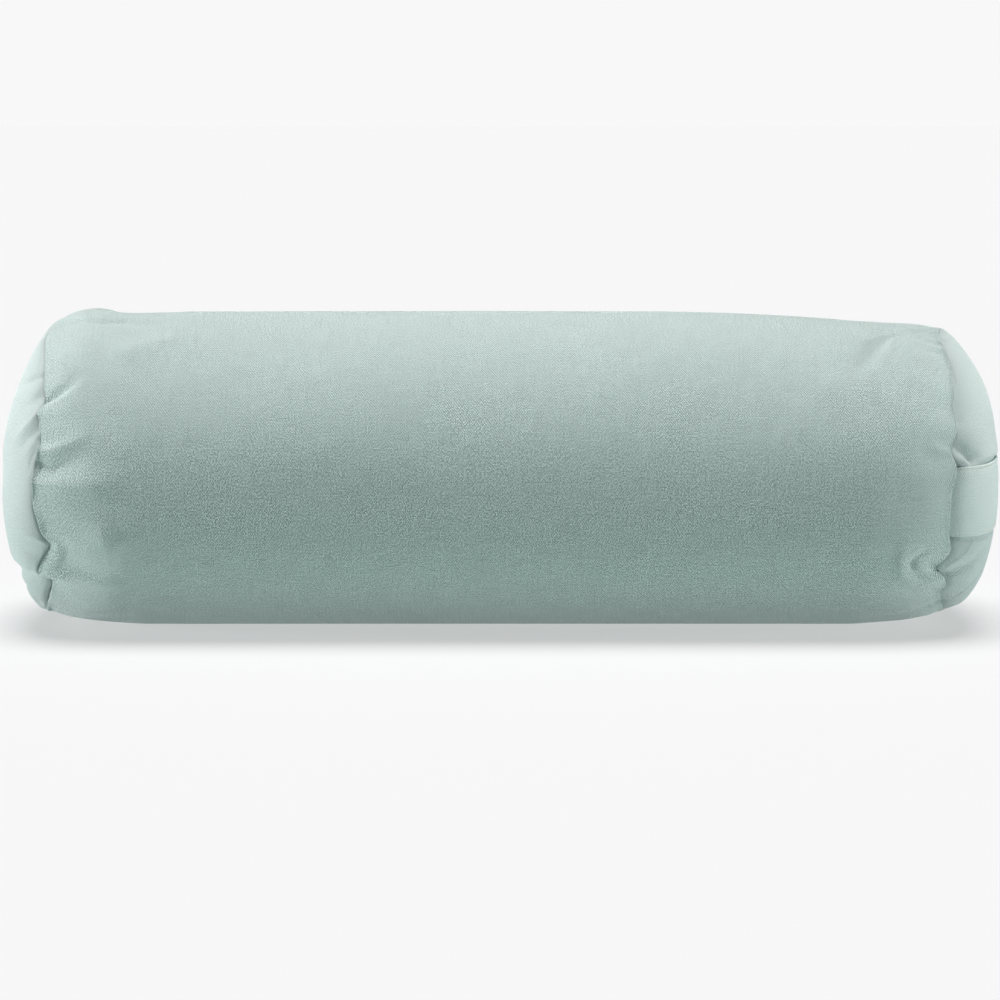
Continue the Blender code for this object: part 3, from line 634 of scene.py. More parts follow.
net_move = relax(net)


def cubic_weights(place, count, wraps):
    """Catmull-Rom: the four grid lines next to a place, and the share that each has in its value."""
    below = np.floor(place).astype(int)
    t = place - below
    lines = [below + k for k in (-1, 0, 1, 2)]
    lines = [np.mod(line, count) if wraps else np.clip(line, 0, count - 1) for line in lines]
    shares = (
        (-t ** 3 + 2 * t ** 2 - t) / 2,
        (3 * t ** 3 - 5 * t ** 2 + 2) / 2,
        (-3 * t ** 3 + 4 * t ** 2 + t) / 2,
        (t ** 3 - t ** 2) / 2,
    )
    return lines, shares


def cloth_move(along, angle):
    """The relaxed net's movement at any place, by Catmull-Rom between its rings and columns."""
    along, angle = np.broadcast_arrays(along, angle)
    ring = np.interp(along, net_along, np.arange(len(net_along)))
    column = np.mod(angle, math.tau) / math.tau * NET_COLUMNS
    rings, ring_shares = cubic_weights(ring, len(net_along), False)
    columns, column_shares = cubic_weights(column, NET_COLUMNS, True)
    total = np.zeros((*along.shape, 3))
    for row, row_share in zip(rings, ring_shares):
        for line, line_share in zip(columns, column_shares):
            total += net_move[row, line] * (row_share * line_share)[..., None]
    off_zip = np.where(np.abs(along) > SEAM_X, 1.0, ease(from_zip(angle), *MOVE_OFF_ZIP))
    return total * off_zip[..., None]


def cover(along, angle, depth=0.0):
    """Points on the finished cover, or at a depth below its face."""
    points = folded_form(along, angle)
    free = 1 - under_strap(along, points[..., 2])
    points = points + cloth_move(along, angle) * free[..., None]
    points = points - outward(along, angle) * np.asarray(depth)[..., None]
    points[..., 2] = np.maximum(points[..., 2], 0.0)
    return points


# Canvas
# Plain-woven cotton in pale sage green, a little slubby, with a soft nap. The weave is one node group.
def add_noise(tree, vector, scale, detail, distortion=0.0):
    """A noise texture node at a place in metres."""
    inputs = {"Vector": vector, "Scale": scale, "Detail": detail, "Distortion": distortion}
    return add_node(tree, "ShaderNodeTexNoise", inputs)


def weave_group():
    """Height and shade of a plain weave, from a UV map in metres.

    A thread's cross profile is |sin|, and the sign of sin(u) * sin(v) says which set lies on top.
    Slubs are noise drawn out along each set of threads, and the nap is finer noise over both.
    """
    group = bpy.data.node_groups.new("plain_weave", "ShaderNodeTree")
    for name, kind in (("Cloth", "Vector"), ("Threads", "Vector"), ("Slub", "Float")):
        group.interface.new_socket(name, in_out="INPUT", socket_type="NodeSocket" + kind)
    for name in ("Height", "Shade"):
        group.interface.new_socket(name, in_out="OUTPUT", socket_type="NodeSocketFloat")
    given = add_node(group, "NodeGroupInput")
    cloth = given.outputs["Cloth"]
    wobble = add_noise(group, cloth, 260.0, 3.0)
    drift = add_node(group, "ShaderNodeVectorMath", {0: wobble.outputs["Color"], 1: (0.0016, 0.0016, 0.0)},
                     operation="MULTIPLY")
    bent = add_node(group, "ShaderNodeVectorMath", {0: cloth, 1: drift.outputs[0]}, operation="ADD")
    turned = add_node(group, "ShaderNodeVectorMath", {0: bent.outputs[0], 1: given.outputs["Threads"]},
                      operation="MULTIPLY")
    parts = add_node(group, "ShaderNodeSeparateXYZ", {0: turned.outputs[0]})
    warp = compute(group, "SINE", compute(group, "MULTIPLY", parts.outputs[0], math.pi))
    weft = compute(group, "SINE", compute(group, "MULTIPLY", parts.outputs[1], math.pi))
    over = compute(group, "MULTIPLY", warp, weft)
    warp_top = compute(group, "MULTIPLY_ADD", over, 0.4, 0.6)
    weft_top = compute(group, "MULTIPLY_ADD", over, -0.4, 0.6)
    warp_high = compute(group, "MULTIPLY", compute(group, "ABSOLUTE", warp), warp_top)
    weft_high = compute(group, "MULTIPLY", compute(group, "ABSOLUTE", weft), weft_top)
    crossing = compute(group, "MAXIMUM", warp_high, weft_high)
    slubs = []
    for stretch in ((700.0, 40.0, 0.0), (40.0, 700.0, 0.0)):
        drawn = add_node(group, "ShaderNodeVectorMath", {0: cloth, 1: stretch}, operation="MULTIPLY")
        noise = add_noise(group, drawn.outputs[0], 1.0, 2.0)
        slubs.append(noise.outputs["Fac"])
    slub = compute(group, "SUBTRACT", compute(group, "ADD", *slubs), 1.0)
    nap = add_noise(group, cloth, 1050.0, 1.0)
    fuzz = compute(group, "SUBTRACT", nap.outputs["Fac"], 0.5)
    crowned = compute(group, "MULTIPLY_ADD", over, 2.0, crossing)
    rough = compute(group, "MULTIPLY_ADD", slub, given.outputs["Slub"], crowned)
    height = compute(group, "MULTIPLY_ADD", fuzz, 3.0, rough)
    woven = compute(group, "MULTIPLY_ADD", over, 0.5, 0.5)
    mottled = compute(group, "MULTIPLY_ADD", fuzz, 3.0, woven)
    shade = compute(group, "MULTIPLY_ADD", slub, 0.35, mottled)
    add_node(group, "NodeGroupOutput", {"Height": height, "Shade": shade})
    return group


WEAVE = weave_group()
# The canvas's two tones are its threads' own, spread further apart with painted shade and painted highlight
# that stand in for the weave's relief under raking light.
CANVAS_LIGHT_AND_HIGHLIGHT = (0.765, 0.930, 0.884)
CANVAS_DARK_AND_SHADE = (0.250, 0.350, 0.330)
CANVAS_THREADS = (1300.0, 1020.0)


def new_finish(name):
    """A new material, with its node tree and its shader."""
    finish = bpy.data.materials.new(name)
    finish.use_nodes = True
    return finish, finish.node_tree, finish.node_tree.nodes["Principled BSDF"]


def two_tones(tree, shader, factor, dark, light):
    """Give the shader a base colour between two, by a factor."""
    mix = add_node(tree, "ShaderNodeMix", {"Factor": factor}, data_type="RGBA")
    mix.inputs["A"].default_value = (*dark, 1.0)
    mix.inputs["B"].default_value = (*light, 1.0)
    tree.links.new(mix.outputs["Result"], shader.inputs["Base Color"])


def add_bump(tree, shader, height, strength, relief):
    """Give the shader a bump from a height between 0 and 1, at a relief in metres."""
    bump = add_node(tree, "ShaderNodeBump", {"Height": height, "Strength": strength, "Distance": relief})
    tree.links.new(bump.outputs["Normal"], shader.inputs["Normal"])


def cloth_finish(name, light, dark, threads, slub, relief, nap):
    """A woven material: the weave gives its two shades and its bump, and nap is its sheen."""
    finish, tree, shader = new_finish(name)
    place = add_node(tree, "ShaderNodeUVMap", uv_map="cloth")
    weave = add_node(tree, "ShaderNodeGroup", {}, node_tree=WEAVE)
    tree.links.new(place.outputs["UV"], weave.inputs["Cloth"])
    weave.inputs["Threads"].default_value = (*threads, 0.0)
    weave.inputs["Slub"].default_value = slub
    two_tones(tree, shader, weave.outputs["Shade"], dark, light)
    add_bump(tree, shader, weave.outputs["Height"], 1.0, relief)
    shader.inputs["Roughness"].default_value = 0.9
    shader.inputs["Specular IOR Level"].default_value = 0.3
    shader.inputs["Sheen Weight"].default_value = nap
    shader.inputs["Sheen Roughness"].default_value = 0.45
    return finish


CANVAS_SLUB = 0.8
CANVAS_RELIEF = 0.00011
CANVAS_NAP = 0.4
CANVAS = cloth_finish("sage_canvas", CANVAS_LIGHT_AND_HIGHLIGHT, CANVAS_DARK_AND_SHADE, CANVAS_THREADS, CANVAS_SLUB,
                      CANVAS_RELIEF, CANVAS_NAP)


def cloth_mesh(name, points, cloth, finish, poles=(), wraps=False, capped=False):
    """A mesh from points[row, column] with a UV map in metres; a pole is (row, point, uv).

    The faces look along the cross product of the row and column directions. Where it wraps, the last
    column is the first again. A capped one is a tube with a face across each end.
    """
    rows, columns = points.shape[:2]
    kept = columns - 1 if wraps else columns
    index = np.arange(rows * kept).reshape(rows, kept)
    index = np.concatenate([index, index[:, :1]], 1) if wraps else index
    on_map = np.arange(rows * columns).reshape(rows, columns)
    flat = cloth.reshape(-1, 2)
    maps = [flat[grid_faces(on_map)].reshape(-1, 2)]
    faces = grid_faces(index).tolist()
    places = points[:, :kept].reshape(-1, 3).tolist()
    for row, point, uv in poles:
        order = 1 if row == 0 else -1
        ring, ring_map = index[row][::order], on_map[row][::order]
        fan = np.stack((ring[:-1], ring[1:], np.full(columns - 1, len(places))), -1)
        pairs = flat[np.stack((ring_map[:-1], ring_map[1:]), -1)]
        maps.append(np.concatenate([pairs, np.broadcast_to(uv, (columns - 1, 1, 2))], 1).reshape(-1, 2))
        faces += fan.tolist()
        places.append(list(point))
    if capped:
        for row, order in ((0, 1), (rows - 1, -1)):
            faces.append(index[row, :-1][::order].tolist())
            maps.append(flat[on_map[row, :-1][::order]])
    mesh = bpy.data.meshes.new(name)
    mesh.from_pydata(places, [], faces)
    layer = mesh.uv_layers.new(name="cloth")
    layer.data.foreach_set("uv", np.concatenate(maps).astype(np.float32).ravel())
    mesh.shade_smooth()
    mesh.materials.append(finish)
    return add_object(name, mesh)


# Cover body
# One rectangle of canvas rolled into a tube. Its long edges are turned under and part at the zip, where
# it is flat, and its ends are gathered and turned in at the end seams.
EDGE_ROLL = 0.0006
TURNED_IN = 0.008
HEM = 0.006
SIDE_ROLL = 0.0006
SLOT_HALF = 0.0055
SLOT_END = 0.207
SLOT_TIP = 0.215
STRIP_HALF = 0.017
ZIP_Y = BODY_WIDTH / 2 * (1 - (STRIP_HALF / (BODY_HEIGHT - WIDEST_HEIGHT)) ** 2) ** 0.5
BODY_COLUMNS = 330
ROLL_STEPS = np.linspace(0, math.pi, 7)


def rolled_edge(radius, turned):
    """Reach and depth of a folded edge: a half circle, then the cloth turned back under itself."""
    reach = radius * np.sin(ROLL_STEPS)
    depth = radius * (1 - np.cos(ROLL_STEPS))
    return np.append(reach, -turned), np.append(depth, 2 * radius)


reach, depth = rolled_edge(EDGE_ROLL, TURNED_IN)
edge_from_seam = EDGE_ROLL - reach
# The rows lie close together at the rolled edge and in the folds, and further apart in the middle.
near = np.concatenate([np.linspace(0.0014, 0.012, 9), np.linspace(0.014, 0.10, 44)])
middle = np.linspace(0.106, SEAM_X, 40)[:-1]
from_seam = np.concatenate([edge_from_seam[::-1], near, middle])
depth_rows = np.concatenate([depth[::-1], np.zeros(len(near) + len(middle))])
body_along = np.concatenate([from_seam - SEAM_X, [0.0], (SEAM_X - from_seam)[::-1]])
body_depth = np.concatenate([depth_rows, [0.0], depth_rows[::-1]])
opening = SLOT_HALF * np.clip((SLOT_TIP - np.abs(body_along)) / (SLOT_TIP - SLOT_END), 0, 1) ** 0.5
side_reach, side_depth = rolled_edge(SIDE_ROLL, HEM)
inner_angle = math.pi + (opening[:, None] + SIDE_ROLL - side_reach[::-1][None, :]) / ZIP_Y
outer_angle = math.tau - inner_angle[:, ::-1] + math.tau
share = np.linspace(0, 1, BODY_COLUMNS)[1:-1]
between = inner_angle[:, -1:] + (outer_angle[:, :1] - inner_angle[:, -1:]) * share
body_angle = np.concatenate([inner_angle, between, outer_angle], 1)
column_depth = np.concatenate([side_depth[::-1], np.zeros(len(share)), side_depth])
body_along = np.broadcast_to(body_along[:, None], body_angle.shape)
body_points = cover(body_along, body_angle, body_depth[:, None] + column_depth[None, :])
strip = np.abs(np.mod(body_angle, math.tau) - math.pi) * ZIP_Y < STRIP_HALF
strip = strip & (np.abs(body_along) < SLOT_TIP)
flat_y = ZIP_Y - column_depth[None, :] - body_depth[:, None]
body_y = body_points[..., 1]
body_points[..., 1] = np.where(strip, np.minimum(body_y, flat_y), body_y)
body_cloth = np.stack([body_along, body_angle * MEAN_RADIUS], -1)
canvas_body = cloth_mesh("canvas_body", body_points, body_cloth, CANVAS)
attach(canvas_body, "bolster")
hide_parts("cover_body")


# End panels
# A round of canvas at each end, eased on to the body with its edge turned in under the body's. SET_IN is how
# deep it lies at the seam: (degrees from the front over the top, millimetres). Its two tones lie closer than
# the body's: their spread is partly painted shade and highlight for the weave's relief, which the ends need
# less as the light falls on them more squarely, and a wider spread would show a moire from the end.
PANEL_LIGHT_AND_HIGHLIGHT = (0.650, 0.785, 0.748)
PANEL_DARK_AND_SHADE = (0.445, 0.558, 0.533)
PANEL_CANVAS = cloth_finish("panel_canvas", PANEL_LIGHT_AND_HIGHLIGHT, PANEL_DARK_AND_SHADE, CANVAS_THREADS, CANVAS_SLUB,
                            CANVAS_RELIEF, CANVAS_NAP)
PANEL_RINGS = 78
PANEL_COLUMNS = 320
PANEL_TUCK = ((-TURNED_IN, 0.0034), (-0.0024, 0.0034), (-0.0012, 0.0026))
PANEL_RIM = (-0.0007, -0.0004, -0.0002)
SET_IN_REACH = 0.0024
RIM_DEPTH = 0.0001
RIM_REACH = 0.0006
LEFT_SET_IN = (
    (-170, 0.3), (-130, 0.6), (-100, 0.2), (-58, 0.3), (-52, 1.6), (-38, 1.8), (-35, 0.4), (-33, 1.2),
    (-28, 1.8), (-20, 1.8), (-14, 2.0), (-8, 0.7), (-4, 0.0), (30, 0.0), (95, 0.0), (130, 0.5), (160, 0.2),
)
RIGHT_SET_IN = (
    (-165, 0.4), (-120, 0.1), (-60, 0.1), (-45, 0.2), (-36, 0.8), (-30, 1.4), (-26, 0.4), (-20, 0.1),
    (10, 0.2), (15, 0.6), (20, 0.1), (70, 0.1), (80, 0.5), (92, 0.5), (100, 0.1), (140, 0.5),
)

for end, crown, set_in_keys, name, node in (
    (-1, CROWN_LEFT, LEFT_SET_IN, "canvas_end_left", "cover_end_left"),
    (1, CROWN_RIGHT, RIGHT_SET_IN, "canvas_end_right", "cover_end_right"),
):
    over = np.concatenate([PANEL_RIM, PANEL_REACH * np.linspace(0.004, 0.985, PANEL_RINGS) ** 1.1])
    turned = math.pi + np.linspace(0, math.tau, PANEL_COLUMNS + 1)
    set_in = round_keys(turned, set_in_keys)
    rim_height = outline(end * SEAM_X, turned)[1]
    rim_seat = under_strap(end * (SEAM_X + AT_SEAM), rim_height) * (STRAP_PRESS + STRAP_DRAW)
    past = np.maximum(over, 0)[:, None]
    over_depth = set_in * np.exp(-past / SET_IN_REACH) + RIM_DEPTH * np.exp(-past / RIM_REACH)
    over_depth = over_depth + np.where(past > 0, 0, rim_seat)
    tucked = np.array([depth for _, depth in PANEL_TUCK])[:, None] + rim_seat
    past_seam = np.concatenate([[place for place, _ in PANEL_TUCK], over])[::end]
    panel_depth = np.concatenate([tucked, over_depth])[::end]
    along = np.broadcast_to((end * (SEAM_X + past_seam))[:, None], panel_depth.shape)
    turned = np.broadcast_to(turned[None, :], panel_depth.shape)
    points = cover(along, turned, panel_depth)
    left_to_pole = PANEL_REACH - (np.abs(along) - SEAM_X)
    panel_cloth = np.stack([left_to_pole * np.cos(turned), left_to_pole * np.sin(turned)], -1)
    pole_row = 0 if end < 0 else len(past_seam) - 1
    tip = points[pole_row, :-1].mean(0)
    panel = cloth_mesh(name, points, panel_cloth, PANEL_CANVAS, [(pole_row, tip, (0.0, 0.0))], wraps=True)
    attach(panel, "bolster")
    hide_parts(node)


# Carry strap
# Folded canvas, flat across the right end panel, with both ends tucked under the body's edge and sewn into
# the seam.
STRAP_THICKNESS = 0.0020
STRAP_TONGUE = 0.008
STRAP_STITCH_IN = 0.0020
STRAP_GROOVE = 0.0003
STRAP_GROOVE_HALF = 0.0006
STRAP_FLAT = 0.018
STRAP_STEPS = 150
STRAP_COLOUR = (0.775, 0.915, 0.875)
STRAP_SHADED = (0.625, 0.755, 0.720)


def on_strap(turn, tuck, lift, offset):
    """Points on the strap, at an offset out from its underside.

    Turn goes from 0 at the front rim to half a turn at the back one, at a constant height on the panel:
    y is the rim's half width there times -cos(turn). Tuck is the length hidden beyond a rim.
    """
    turn, tuck, lift, offset = np.broadcast_arrays(turn, tuck, lift, offset)
    height = STRAP_HEIGHT + lift - WIDEST_HEIGHT
    side = BODY_WIDTH / 2 - TAPER_SIDE
    above = BODY_HEIGHT - WIDEST_HEIGHT - SLOPE_FALL
    below = WIDEST_HEIGHT + FLOOR_CUT - TAPER_BOTTOM
    tall = np.where(height >= 0, above, below)
    power = np.where(height >= 0, UPPER_POWER, LOWER_POWER)
    y = -side * (1 - (np.abs(height) / tall) ** power) ** (1 / power) * np.cos(turn)
    angle = np.arctan2(height, -y)
    rim_y, rim_z = outline(SEAM_X, angle)
    rho = np.clip(np.hypot(y, height) / np.hypot(rim_y, rim_z - WIDEST_HEIGHT), 0, 1)
    along = SEAM_X + PANEL_REACH * np.arccos(rho) / (math.pi / 2)
    hidden = tuck > 0
    along = np.where(hidden, SEAM_X - tuck, np.maximum(along, SEAM_X + 0.0001))
    return cover(along, angle, np.where(hidden, STRAP_PRESS + STRAP_DRAW - offset, -offset))


def walked_length(steps):
    """The way walked to each point of a path, from the lengths of its steps."""
    return np.concatenate([[0], np.cumsum(steps)])


turn = np.concatenate([[0.0] * 3, np.linspace(0.004, math.pi - 0.004, STRAP_STEPS), [math.pi] * 3])
tongue = [STRAP_TONGUE, 0.004, 0.0008]
tuck = np.concatenate([tongue, np.zeros(STRAP_STEPS), tongue[::-1]])
half_thick = STRAP_THICKNESS / 2
flat_half = STRAP_HALF - half_thick
near_stitches = STRAP_HALF - STRAP_STITCH_IN + STRAP_GROOVE_HALF * np.array([-2, -1, -0.5, 0, 0.5, 1, 1.6])
top_lift = np.concatenate([-near_stitches[::-1], np.linspace(-STRAP_FLAT, STRAP_FLAT, 19), near_stitches])
groove = STRAP_GROOVE * np.exp(-((np.abs(top_lift) - STRAP_HALF + STRAP_STITCH_IN) / STRAP_GROOVE_HALF) ** 2)
bend = np.linspace(math.pi / 2, -math.pi / 2, 7)
underside = np.linspace(STRAP_FLAT, -STRAP_FLAT, 7)
side_lift = flat_half + half_thick * np.cos(bend)
side_offset = half_thick * (1 + np.sin(bend))
section_lift = np.concatenate([top_lift, side_lift, underside, -side_lift])
section_offset = np.concatenate([STRAP_THICKNESS - groove, side_offset, np.zeros(7), side_offset[::-1]])
section_lift = np.append(section_lift, section_lift[0])
section_offset = np.append(section_offset, section_offset[0])
points = on_strap(turn[:, None], tuck[:, None], section_lift, section_offset)
lengthwise = walked_length(np.linalg.norm(np.diff(points, axis=0), axis=-1).mean(1))
around = walked_length(np.hypot(np.diff(section_lift), np.diff(section_offset)))
strap_cloth = np.stack(np.broadcast_arrays(lengthwise[:, None], around), -1)
STRAP_CANVAS = cloth_finish("strap_canvas", STRAP_COLOUR, STRAP_SHADED, CANVAS_THREADS, 0.6, 0.00014, 0.3)
strap = cloth_mesh("carry_strap", points, strap_cloth, STRAP_CANVAS, wraps=True, capped=True)
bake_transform(strap)
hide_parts("handle_strap")


# Strap stitching
# A row of short lockstitches in cream cotton along each long edge, sunk in its groove.
STITCH_PITCH = 0.0016
STITCH_LENGTH = 0.0012
STITCH_THICKNESS = 0.00045
STITCH_RISE = 0.001


def darker(colour, share):
    """The colour at a share of its level."""
    return [share * part for part in colour]


def thread_finish(name, colour):
    """Twisted cotton: a slanting wave as bump, over a little unevenness of shade."""
    finish, tree, shader = new_finish(name)
    place = add_node(tree, "ShaderNodeTexCoord").outputs["Object"]
    noise = add_noise(tree, place, 900.0, 2.0)
    two_tones(tree, shader, noise.outputs["Fac"], darker(colour, 0.86), colour)
    waves = {"Vector": place, "Scale": 900.0, "Distortion": 1.0}
    twist = add_node(tree, "ShaderNodeTexWave", waves, bands_direction="DIAGONAL")
    add_bump(tree, shader, twist.outputs["Fac"], 0.6, 0.00006)
    shader.inputs["Roughness"].default_value = 0.7
    shader.inputs["Sheen Weight"].default_value = 0.3
    return finish


def add_stitches(name, middle, forward, up, length, thickness, finish):
    """One mesh of stitches, each a blunt spindle of three rings of six points that dips in at its ends.

    A stitch's points are its rings from start to end, then its start tip and its end tip.
    """
    share = np.array([-0.42, 0.0, 0.42])
    girth = np.array([0.62, 1.0, 0.62])
    sides = 6
    around = np.arange(sides) * math.tau / sides
    side = np.cross(up, forward)
    spokes = (side[:, None, None] * np.cos(around)[:, None] + up[:, None, None] * np.sin(around)[:, None])
    rings = middle[:, None] + forward[:, None] * (length * share)[:, None]
    rings = rings - up[:, None] * (thickness * 0.35 * (share != 0))[:, None]
    body = rings[:, :, None] + spokes * (girth * thickness / 2)[:, None, None]
    tips = middle[:, None] + forward[:, None] * (length * np.array([-0.5, 0.5]))[:, None]
    tips = tips - up[:, None] * thickness * 0.6
    count = len(middle)
    start_tip = len(share) * sides
    end_tip = start_tip + 1
    points = np.concatenate([body.reshape(count, start_tip, 3), tips], 1)
    near = np.arange(sides)
    far = np.roll(near, -1)
    ring_quads = np.stack((near, far, far + sides, near + sides), -1)
    quads = np.concatenate([ring_quads, ring_quads + sides])
    start_cap = np.stack((far, near, np.full(sides, start_tip)), -1)
    end_cap = np.stack((near + 2 * sides, far + 2 * sides, np.full(sides, end_tip)), -1)
    first = np.arange(count)[:, None, None] * (end_tip + 1)
    faces = (quads + first).reshape(-1, 4).tolist()
    faces += (start_cap + first).reshape(-1, 3).tolist() + (end_cap + first).reshape(-1, 3).tolist()
    mesh = bpy.data.meshes.new(name)
    mesh.from_pydata(points.reshape(-1, 3).tolist(), [], faces)
    mesh.shade_smooth()
    mesh.materials.append(finish)
    return add_object(name, mesh)


CREAM_THREAD = thread_finish("cream_thread", (0.84, 0.86, 0.78))
fine = np.linspace(0.0, math.pi, 2000)
middles = []
forwards = []
ups = []
for edge in (-1, 1):
    row_lift = edge * (STRAP_HALF - STRAP_STITCH_IN)
    line = on_strap(fine, 0.0, row_lift, STRAP_THICKNESS - STRAP_GROOVE)
    over = on_strap(fine, 0.0, row_lift, STRAP_THICKNESS + STITCH_RISE)
    walk = walked_length(np.linalg.norm(np.diff(line, axis=0), axis=1))
    places = np.arange(STITCH_PITCH, walk[-1] - STITCH_PITCH, STITCH_PITCH)
    at = np.stack([np.interp(places, walk, line[:, k]) for k in range(3)], -1)
    above = np.stack([np.interp(places, walk, over[:, k]) for k in range(3)], -1)
    way = unit(np.gradient(at, axis=0))
    rise = above - at
    rise = unit(rise - way * (rise * way).sum(1, keepdims=True))
    middles.append(at + rise * STITCH_THICKNESS * 0.25)
    forwards.append(way)
    ups.append(rise)
stitching = add_stitches(
    "strap_stitching", np.concatenate(middles), np.concatenate(forwards), np.concatenate(ups),
    STITCH_LENGTH, STITCH_THICKNESS, CREAM_THREAD,
)
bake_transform(stitching)


# Inner case and filling
# A plain calico case, a body and two round ends, holds the fibre and follows the cover from inside. It is
# drawn in further behind the end seams and the zip, where the cover's cloth is doubled.
INNER_GAP = 0.0014
INNER_AT_SEAM = 0.0036
INNER_AT_ZIP = 0.0045
INNER_AT_FOLDS = 0.0022
SEAM_CLOTH = (0.009, 0.016)
ZIP_CLOTH_ROUND = (0.018, 0.032)
ZIP_CLOTH_ALONG = (0.226, 0.242)
FOLD_CLOTH = (0.060, 0.090)
INNER_SET_BACK = 0.0040
SET_BACK_OVER = (0.0, 0.03)
INNER_COLUMNS = 180
CALICO_COLOUR = (0.76, 0.73, 0.65)
CALICO_SHADED = (0.66, 0.63, 0.55)
CALICO = cloth_finish("calico", CALICO_COLOUR, CALICO_SHADED, (2400.0, 2200.0), 0.8, 0.00006, 0.2)


def inside_cover(along, angle, extra, set_back):
    """The cover's surface drawn in towards the long axis, and towards the middle of its length.

    The cover is read a little nearer the middle on the body, and nearer the pole on an end panel, and
    the panel is then moved in by the set-back. So each fold of the case lies behind one of the cover.
    """
    walked = np.minimum(np.abs(along), SEAM_X)
    beyond = np.abs(along) - walked
    place = np.sign(along) * (walked * (1 - set_back / SEAM_X) + beyond * (1 + set_back / PANEL_REACH))
    points = cover(place, angle)
    off_seam = SEAM_X - np.abs(along)
    at_seam = INNER_AT_SEAM * (1 - ease(off_seam, *SEAM_CLOTH))
    beside_zip = 1 - ease(from_zip(angle), *ZIP_CLOTH_ROUND)
    at_zip = INNER_AT_ZIP * beside_zip * (1 - ease(np.abs(along), *ZIP_CLOTH_ALONG))
    at_folds = INNER_AT_FOLDS * (1 - ease(off_seam, *FOLD_CLOTH))
    depth = (INNER_GAP + extra + np.maximum(at_seam, at_folds) + at_zip) * np.cos(panel_turn(along))
    arm = points[..., 1:] - np.array([0.0, WIDEST_HEIGHT])
    points[..., 1:] -= arm * (depth / np.maximum(np.linalg.norm(arm, axis=-1), 0.001))[..., None]
    points[..., 0] -= np.sign(along) * set_back * ease(beyond, *SET_BACK_OVER)
    return points


def closed_round(name, low, high, rows, extra, set_back, finish):
    """Part of the inner form between two places along it, closed at a pole where it reaches one."""
    along = np.linspace(low, high, rows)
    turned = math.pi + np.linspace(0, math.tau, INNER_COLUMNS + 1)
    points = inside_cover(along[:, None], turned[None, :], extra, set_back)
    cloth = np.stack(np.broadcast_arrays(along[:, None], turned * MEAN_RADIUS), -1)
    poles = [(row, points[row, :-1].mean(0), tuple(cloth[row, 0])) for row in (0, rows - 1)
             if abs(along[row]) > SEAM_X + 0.001]
    return cloth_mesh(name, points, cloth, finish, poles, wraps=True)


INNER_POLE = SEAM_X + PANEL_REACH * 0.985
for name, low, high, rows, node in (
    ("calico_body", -SEAM_X, SEAM_X, 110, "inner_case_body"),
    ("calico_end_left", -INNER_POLE, -SEAM_X, 34, "inner_case_end_left"),
    ("calico_end_right", SEAM_X, INNER_POLE, 34, "inner_case_end_right"),
):
    piece = closed_round(name, low, high, rows, 0.0, INNER_SET_BACK, CALICO)
    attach(piece, "bolster")
    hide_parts(node)

FIBRE_COLOUR = (0.85, 0.84, 0.80)
fibre, tree, shader = new_finish("carded_fibre")
place = add_node(tree, "ShaderNodeTexCoord").outputs["Object"]
tufts = add_noise(tree, place, 60.0, 6.0, 1.5)
two_tones(tree, shader, tufts.outputs["Fac"], darker(FIBRE_COLOUR, 0.88), FIBRE_COLOUR)
add_bump(tree, shader, tufts.outputs["Fac"], 0.8, 0.002)
shader.inputs["Roughness"].default_value = 0.95
shader.inputs["Sheen Weight"].default_value = 0.6
IN_CASE = 0.0010
set_back = INNER_SET_BACK + IN_CASE
filling = closed_round("fibre_filling", -INNER_POLE, INNER_POLE, 150, IN_CASE, set_back, fibre)
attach(filling, "bolster")
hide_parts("filling")


# Zip tapes
# Two woven tapes behind the body's folded edges, which are sewn down on them with a row of stitches at
# each side of the opening and a bar tack across each end of it.
TAPE_OUTER_Y = ZIP_Y - 0.0013
TAPE_INNER_Y = ZIP_Y - 0.0019
TAPE_PARTING = 0.0012
TAPE_REACH = 0.0150
TAPE_END = 0.221
TAPE_COLOUR = (0.46, 0.56, 0.53)
TAPE_SHADED = (0.37, 0.46, 0.43)
TAPE = cloth_finish("woven_tape", TAPE_COLOUR, TAPE_SHADED, (3000.0, 3400.0), 0.3, 0.00008, 0.2)
tape_bend = np.linspace(0, math.pi, 5)
tape_half = (TAPE_OUTER_Y - TAPE_INNER_Y) / 2
tape_rows = np.linspace(-TAPE_END, TAPE_END, 140)
for side, name, node in ((1, "tape_upper", "zip_tape_upper"), (-1, "tape_lower", "zip_tape_lower")):
    high = side * TAPE_PARTING if side < 0 else TAPE_REACH
    low = -TAPE_REACH if side < 0 else TAPE_PARTING
    across = np.linspace(high - tape_half, low + tape_half, 9)
    bulge = tape_half * np.sin(tape_bend)[1:-1]
    turned = tape_half * np.cos(tape_bend)[1:-1]
    flat = np.full(len(across), tape_half)
    section_z = np.concatenate([across, across[-1] - bulge, across[::-1], across[0] + bulge, across[:1]])
    section_y = np.concatenate([flat, turned, -flat, -turned, flat[:1]])
    x, y, z = np.broadcast_arrays(
        tape_rows[:, None], TAPE_INNER_Y + tape_half + section_y, WIDEST_HEIGHT + section_z
    )
    piece = cloth_mesh(name, np.stack([x, y, z], -1), np.stack([x, z], -1), TAPE, wraps=True, capped=True)
    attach(piece, "bolster")
    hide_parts(node)

